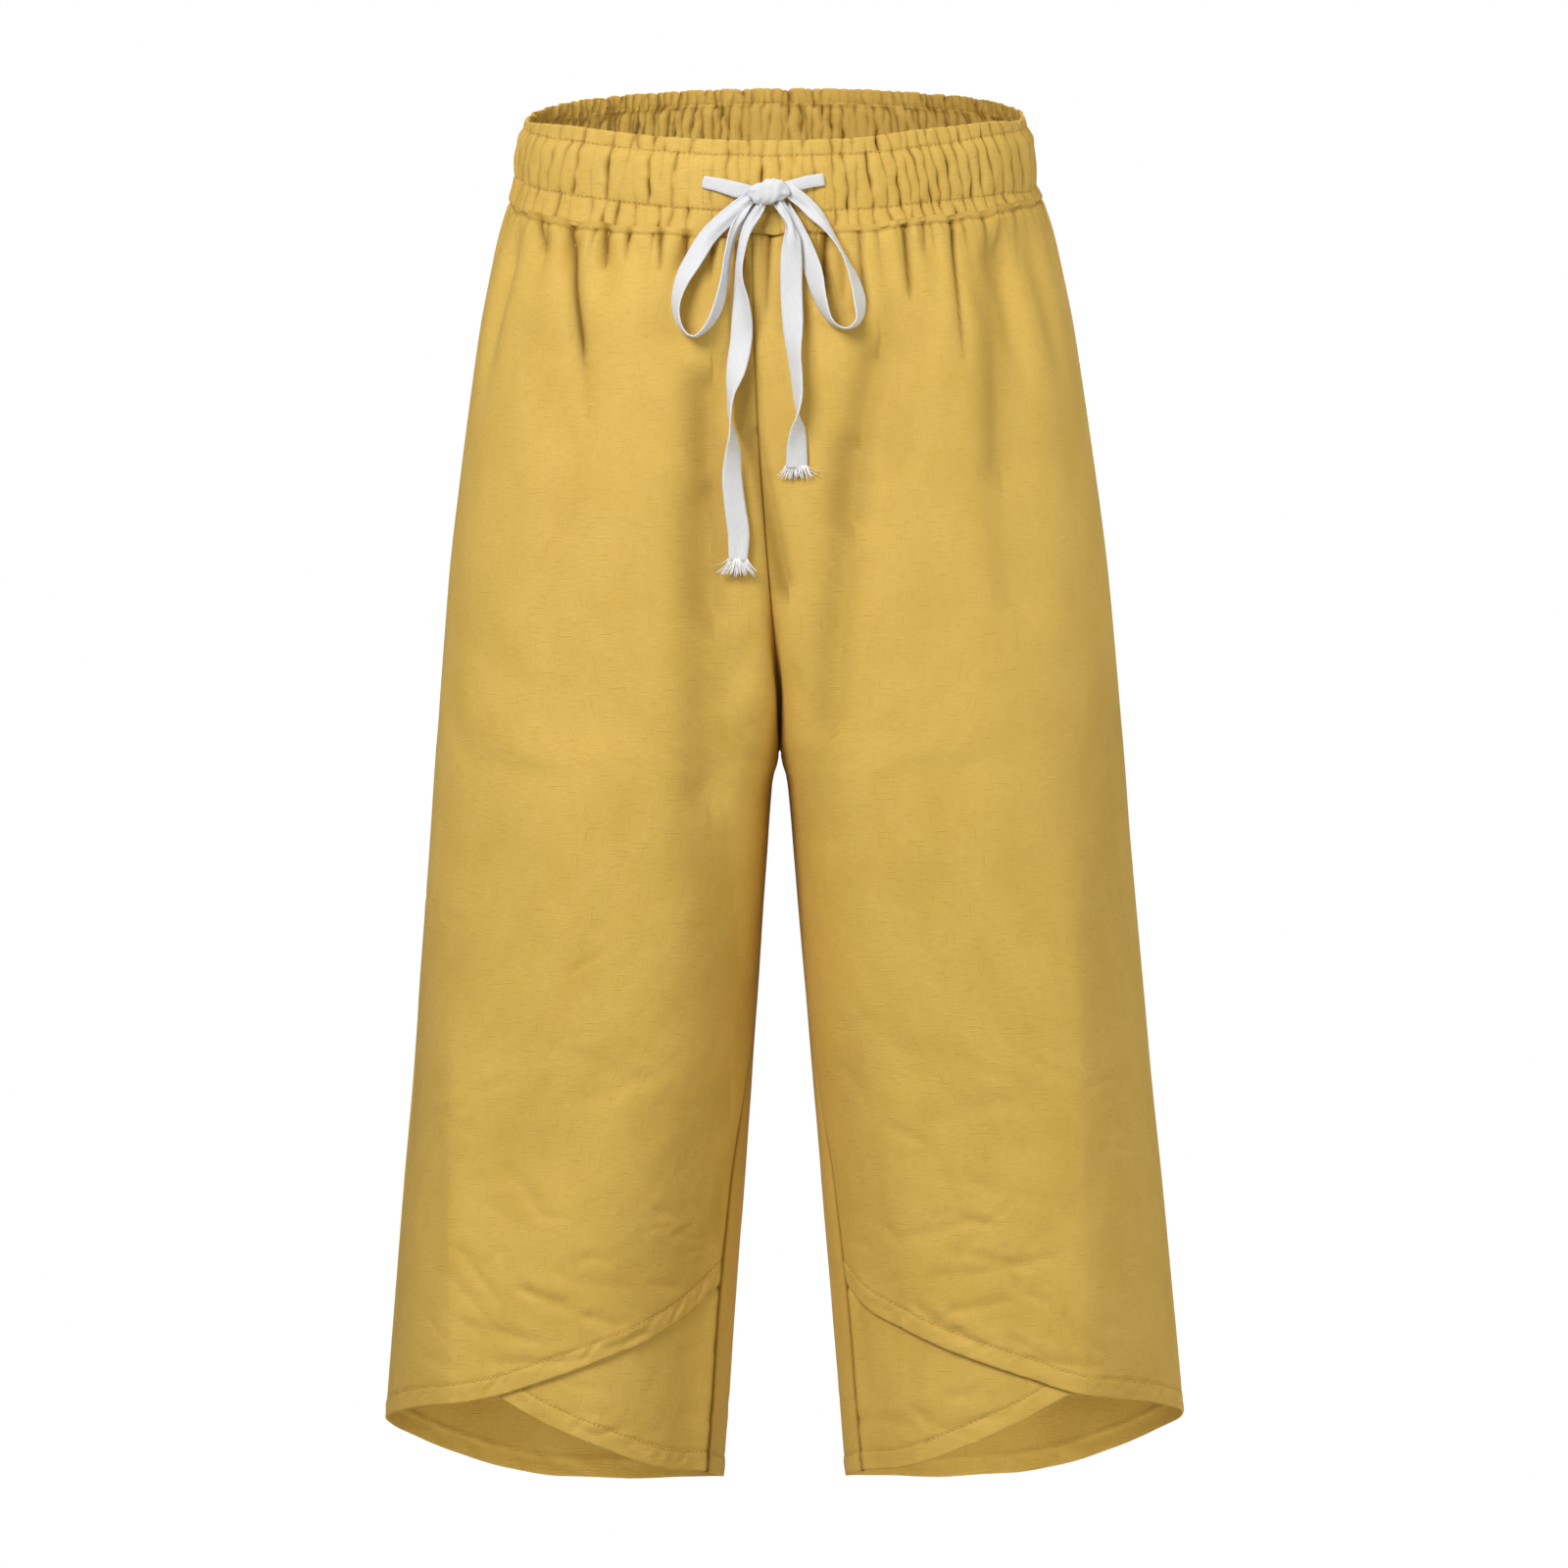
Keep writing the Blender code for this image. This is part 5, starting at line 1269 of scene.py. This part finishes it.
def make_cotton():
    """White herringbone tape: fine slanting ribs, closer at the edges."""
    nodes = Nodes("white_cotton_tape")
    uv, times, ranged = nodes.uv("cloth"), nodes.times, nodes.ranged
    place = nodes.add("SeparateXYZ", {"Vector": uv})
    slant = nodes.plus(place[1], nodes.maths("ABSOLUTE", place[0]))
    chevron = nodes.maths("SINE", times(slant, math.tau / TAPE_CHEVRON))
    ribs, lengthways = nodes.threads(uv, TAPE_RIB, 1), nodes.threads(uv, TAPE_THREAD, 0)
    fuzz, mottle = nodes.streaks(uv, 2400.0, 260.0, 2.0), nodes.streaks(uv, 180.0, 60.0, 6.0)
    tone = nodes.mixed(times(ranged(fuzz, 0.3, 0.75), 0.35), COTTON, COTTON_SHADE)
    tone = nodes.mixed(times(ranged(mottle, 0.4, 0.8), 0.2), tone, COTTON_SHADE)
    height = nodes.plus(times(chevron, 0.5), nodes.plus(fuzz, times(lengthways, 0.4)))
    height = nodes.plus(height, times(ribs, 0.15))
    nodes.fill(nodes.shader, {"Base Color": tone, "Normal": nodes.bump(height),
                              "Roughness": 0.8, "Sheen Weight": 0.15})
    return nodes.material


# ---- Drawstring ----


def cloth_front(x, z):
    """Depth of the foremost cloth at a place seen from the front."""
    y = -100.0
    for _ in range(4):
        drop = BAND_TOP + WAIST_TILT * y - z
        if drop < BAND_BOTTOM:
            side = float(read_table(BAND_ROWS, BAND_COLUMNS, max(drop, 0.0), "side"))
            y = -side * BAND_DEPTH_RATIO * math.sqrt(max(1.0 - (x / side) ** 2, 0.0))
        else:
            level = z
            for _ in range(3):
                level = z - float(tilt(level)) * y
            line = level_line(FRONT, LEFT if x > 0.0 else RIGHT, level)[0]
            y = float(np.interp(abs(x), line[:, 0], line[:, 1]))
    return y


def smooth_route(points, steps):
    """Points along a smooth curve through the given ones."""
    points = [np.array(p, dtype=float) for p in points]
    padded = [2 * points[0] - points[1]] + points + [2 * points[-1] - points[-2]]
    route = []
    for k in range(len(points) - 1):
        a, b, c, d = padded[k:k + 4]
        for step in range(steps):
            t = step / steps
            route.append(0.5 * (2 * b + (c - a) * t + (2 * a - 5 * b + 4 * c - d) * t**2
                                + (3 * b - a - 3 * c + d) * t**3))
    route.append(points[-1])
    return np.array(route)


def tape_route(name):
    """Centre of the tape, with its turn and its share of the full width, point by point."""
    rows = []
    for place in named(TAPE_COLUMNS, TAPES[name]):
        turn = math.radians(place["turn"])
        width = TAPE_WIDTH * place["share"]
        reach = (width * abs(math.sin(turn)) + TAPE_THICK * abs(math.cos(turn))) / 2.0
        y = cloth_front(place["x"], place["z"]) - place["lift"] - reach
        rows.append((place["x"], y, place["z"], place["turn"], place["share"]))
    return smooth_route(rows, ROUTE_STEPS)


# The tape: how many of its last steps it goes on for inside the knot or a slit, and how far
# back it then turns; the points across it, and the depth of its pleats.
ROUTE_STEPS = 8
IN_KNOT, IN_SLIT = 4.5, 0.5
INTO_KNOT = (0.0, 1.5, 0.0, 0.0, 0.0)
INTO_SLIT = (0.0, 3.2, 0.0, 0.0, 0.0)
TAPE_POINTS = 12
TAPE_FOLD = 2.6


def tape_sections(route, folded):
    """Rings of points round the tape, which folds in two soft pleats where it is bunched."""
    rings, uvs, gone = [], [], 0.0
    edge = np.linspace(-1.0, 1.0, TAPE_POINTS)
    for k, row in enumerate(route):
        before, after = route[max(k - 1, 0)], route[min(k + 1, len(route) - 1)]
        along = Vector((after - before)[:3]).normalized()
        facing = Vector((0.0, -1.0, 0.0))
        facing = (facing - along * facing.dot(along)).normalized()
        facing = np.array(Matrix.Rotation(math.radians(row[3]), 3, along) @ facing)
        across = np.cross(np.array(along), facing)
        width = TAPE_WIDTH * row[4]
        bunched = folded * max(1.0 - row[4], 0.0)
        pleat = TAPE_FOLD * bunched * (np.cos(edge * math.pi * 1.5 + 0.4) - 0.3)
        sag = 0.3 * (1.0 - edge ** 2) * math.sin(gone / 13.0)
        thick = TAPE_THICK * 0.42 * (1.0 - 0.55 * np.abs(edge) ** 6)
        middle = row[:3] + np.outer(edge * width / 2.0, across)
        upper = middle + np.outer(pleat + sag + thick, facing)
        lower = middle + np.outer(pleat + sag - thick, facing)
        rings.append(np.vstack((upper, lower[::-1])))
        spread_out = edge * TAPE_WIDTH / 2.0
        uvs.append(np.column_stack((np.concatenate((spread_out, spread_out[::-1])),
                                    np.full(2 * TAPE_POINTS, gone))))
        if k + 1 < len(route):
            gone += float(np.linalg.norm(route[k + 1][:3] - row[:3]))
    return np.array(rings), np.array(uvs), gone


def make_tape(name, material):
    """Woven tape, a little into the knot or the cloth at its hidden ends."""
    route = tape_route(name)
    is_lead = name.startswith("lead")
    onward, into = (IN_SLIT, INTO_SLIT) if is_lead else (IN_KNOT, INTO_KNOT)
    route = np.vstack((route[0] + (route[0] - route[1]) * onward + into, route))
    if not name.startswith("end"):
        route = np.vstack((route, route[-1] + (route[-1] - route[-2]) * IN_KNOT + INTO_KNOT))
    rings, uvs, length = tape_sections(route, 0.0 if is_lead else 1.0)
    piece = finish_mesh("tape_" + name, rings.reshape(-1, 3), tube_faces(*rings.shape[:2]),
                        uvs.reshape(-1, 2), material)
    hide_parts(name)
    return piece, route[:, :3] * MM, length * MM


# The knot: points round and along it, how square it is, and the half width and the sharpness of
# the edges of the turn that wraps it.
KNOT_TURNS = 72
KNOT_RINGS = 64
KNOT_SQUARENESS = 0.8
WRAP_HALF, WRAP_EDGE = 0.55, 26.0


def make_knot(material):
    """The wrapped middle of the bow: one turn of the tape over the gathered ones."""
    x, z = KNOT_CENTRE
    y = cloth_front(x, z) - CLEAR - KNOT_SIZE[1]
    verts, uvs = [], []
    for i in range(KNOT_RINGS + 1):
        polar = math.pi * i / KNOT_RINGS
        for j in range(KNOT_TURNS):
            turn = math.tau * j / KNOT_TURNS
            p = np.array((math.cos(polar), math.sin(polar) * math.cos(turn),
                          math.sin(polar) * math.sin(turn)))
            p = np.sign(p) * np.abs(p) ** KNOT_SQUARENESS
            lean = p[0] - 0.3 * p[2] + 0.06 * math.sin(4.0 * p[2])
            wrap = 1.0 / (1.0 + math.exp((abs(lean) - WRAP_HALF) * WRAP_EDGE))
            folds = 0.032 * math.cos(16.0 * lean + 1.2 * p[2]) * wrap
            sides = 0.06 * math.cos(8.0 * p[2] + 2.0 * p[0]) * (1.0 - wrap)
            size = 0.66 + 0.3 * wrap + folds + sides
            verts.append((x + p[0] * KNOT_SIZE[0] * 1.1, y + p[1] * KNOT_SIZE[1] * size * 1.1,
                          z + p[2] * KNOT_SIZE[2] * (size - 0.08)))
            uvs.append((lean * 9.0, turn * 8.0))
    faces = tube_faces(KNOT_RINGS + 1, KNOT_TURNS, capped=False)
    piece = finish_mesh("bow_knot", verts, faces, uvs, material)
    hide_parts("knot")
    return piece


# Frayed ends: the tape, how many strands, their length, how far they fan out, and the strays:
# each one's place across the tape and how far it stands out sideways.
FRAY_COLUMNS = ("tape", "strands", "length", "fan", "strays")
FRAYS = {
    "frayed_tip_right": ("end_right", 44, 9.5, 11.0, ((1.0, 5.0), (-0.6, 3.5), (0.9, 2.0))),
    "frayed_tip_left": ("end_left", 40, 7.5, 7.5,
                        ((-1.0, 6.5), (-0.9, 4.5), (-0.8, 3.0), (0.9, 3.0))),
}
STRAND_WIDTH = 0.8
STRAND_SIDES, STRAND_STEPS = 4, 7


def make_fray(name, material):
    """Loose yarns that fan out from the cut end of a tape."""
    fray = dict(zip(FRAY_COLUMNS, FRAYS[name]))
    route = tape_route(fray["tape"])
    end, before = route[-1], route[-2]
    along = (end - before)[:3] / np.linalg.norm((end - before)[:3])
    facing = np.array((0.0, -1.0, 0.0))
    across = np.cross(along, facing)
    across /= np.linalg.norm(across)
    rng = np.random.default_rng(21 + fray["strands"])
    verts, faces = [], []
    width = TAPE_WIDTH * end[4]
    strands = [(place, 0.0) for place in np.linspace(-0.5, 0.5, fray["strands"])]
    strands += [(0.5 * place, extra) for place, extra in fray["strays"]]
    for place, extra in strands:
        length = fray["length"] * rng.uniform(0.7, 1.05)
        sideways = place * fray["fan"] + rng.uniform(-0.9, 0.9) + np.sign(place) * extra
        lift, curl = rng.uniform(-0.2, 1.3), rng.uniform(-1.0, 1.0)
        first = len(verts)
        for k in range(STRAND_STEPS + 1):
            t = k / STRAND_STEPS
            centre = (end[:3] + across * (place * width + sideways * t ** 1.5)
                      + along * ((length - 0.4 * abs(extra) * t) * t - 1.5)
                      + facing * (lift * math.sin(2.0 * t) + 0.2)
                      + across * curl * math.sin(math.pi * t) * 0.5)
            thick = STRAND_WIDTH / 2.0 * (1.0 - 0.5 * t ** 2)
            for a in range(STRAND_SIDES):
                turn = math.tau * a / STRAND_SIDES + t * 2.0
                verts.append(centre + (across * math.cos(turn) + facing * math.sin(turn)) * thick)
        faces += tube_faces(STRAND_STEPS + 1, STRAND_SIDES, first)
    uv = np.column_stack((np.arange(len(verts)) * 0.05, np.arange(len(verts)) * 0.02))
    piece = finish_mesh("strands_" + name, verts, faces, uv, material)
    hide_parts(name)
    return piece


# ---- Making it ----

make_camera()
make_stage()
linen, thread, cotton, yarn = make_linen(), make_thread(), make_cotton(), make_yarn()

knot = make_knot(cotton)
frays = {FRAYS[name][0]: make_fray(name, yarn) for name in FRAYS}
leads = {name: make_tape(name, cotton)[0] for name in ("lead_left", "lead_right")}
for tape_name in ("loop_left", "loop_right", "end_left", "end_right"):
    piece, path, length = make_tape(tape_name, cotton)
    side_name = tape_name.split("_")[1]
    carried = [frays[tape_name]] if tape_name in frays else [leads["lead_" + side_name]]
    if tape_name == "loop_left":
        carried.append(knot)
    tuple(path[0])
    [tuple(p) for p in path]

# Waistband: the angles each piece lies between, its columns of points, how many times coarser
# its inner face is, and its flat size.
CENTRE_BACK_RADIUS = 142.8
CENTRE_BACK = 180.0 - math.degrees(math.asin(CENTRE_BACK_SHIFT / CENTRE_BACK_RADIUS))
BAND_PIECES = {
    "waistband_front": (-90.0, 90.0, 1120, 2, (0.47, 0.0475)),
    "waistband_back_left": (90.0, CENTRE_BACK, 430, 1, (0.28, 0.0475)),
    "waistband_back_right": (CENTRE_BACK, 270.0, 340, 1, (0.21, 0.0475)),
}
BAND_DROPS = np.concatenate((
    (0.0, 0.4, 1.0, 2.0, 3.2, 4.5, 5.8, 6.8, 7.5, 8.0, 8.5, 9.0, 9.6, 10.5),
    spaced_rows(11.9, 33.5, 1.45),
    (34.8, 35.4, 36.0, 36.5, 37.0, 37.6, 38.4),
    spaced_rows(39.8, 45.0, 1.3),
    (46.1, 46.8, 47.3, 47.5),
))
for node, (start, end, columns, coarse, flat) in BAND_PIECES.items():
    angles = np.radians(np.linspace(start, end, columns + 1))
    band = make_shell("linen_" + node, band_grid(*np.meshgrid(angles, BAND_DROPS)), linen, coarse)
    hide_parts(node)


def band_stitches():
    """Two rows of stitches all round, and a short upright row at each slit."""
    runs = []
    turn = np.linspace(-math.pi / 2.0, 1.5 * math.pi, 721)
    run = waist_run(turn)
    marks = np.arange(run[0] // STITCH_PITCH + 1.0, run[-1] // STITCH_PITCH)
    angles = np.interp(marks * STITCH_PITCH, run, turn)
    out = np.column_stack((np.sin(angles), -np.cos(angles), np.zeros_like(angles)))
    for row in BAND_STITCH_DROPS:
        points = band_grid(angles[None, :], np.full((1, len(angles)), row))["outer"][0]
        points = points + out * BAND_STITCH_LIFT
        runs += zip(points, points[1:], out)
    for x in SLIT_X:
        drops = np.arange(UPPER_STITCHES + 1.0, LOWER_STITCHES - 0.5, STITCH_PITCH * 0.9)
        angle = math.asin(x / BAND_ROWS[2][1])
        points = band_grid(np.full((1, len(drops)), angle), drops[None, :])["outer"][0]
        aside = np.array((math.sin(angle), -math.cos(angle), 0.0))
        runs += [(a, b, aside) for a, b in zip(points, points[1:])]
    return runs


waist_stitches = add_stitches("stitches_waistband", band_stitches(), thread)

# Panels: flat size and area, hem and columns of points of the fronts and the backs.
PANELS = {FRONT: ((0.36, 0.70), 0.205, "outer", 224), BACK: ((0.40, 0.78), 0.25, "back", 192)}
PETAL_COLUMNS = 160
PETAL_LEVELS = spaced_rows(PETAL_START, PETAL_START - 20.0, 4.0)

# Heights down a panel: close below the waistband and even further down.
BODY_LEVELS = np.concatenate((
    BODY_TOP + np.array((3.5, 1.5, 0.3)),
    BODY_TOP - np.array((0.3, 0.8, 1.3, 2.0, 3.0)),
    spaced_rows(BODY_TOP - 4.5, BODY_TOP - 74.0, 2.2),
    spaced_rows(BODY_TOP - 78.0, -400.0, 5.0),
    spaced_rows(-402.6, PETAL_START, 2.6),
))


def add_panel(name, face, side, grid):
    """A panel's shell with the stitches along its hem."""
    panel = Panel(face, side, *grid, under=name.startswith("under"))
    shell = make_shell("linen_" + name, panel.grids, linen, 2)
    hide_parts(name)
    add_stitches("stitches_" + name, stitched_line(panel), thread)


for side, side_name in ((LEFT, "left"), (RIGHT, "right")):
    for face, (flat, area, hem_name, columns) in PANELS.items():
        add_panel(panel_name(face, side), face, side, panel_grid(hem_name, BODY_LEVELS, columns))
    add_panel("under_petal_" + side_name, FRONT, side,
              panel_grid("under", PETAL_LEVELS, PETAL_COLUMNS))
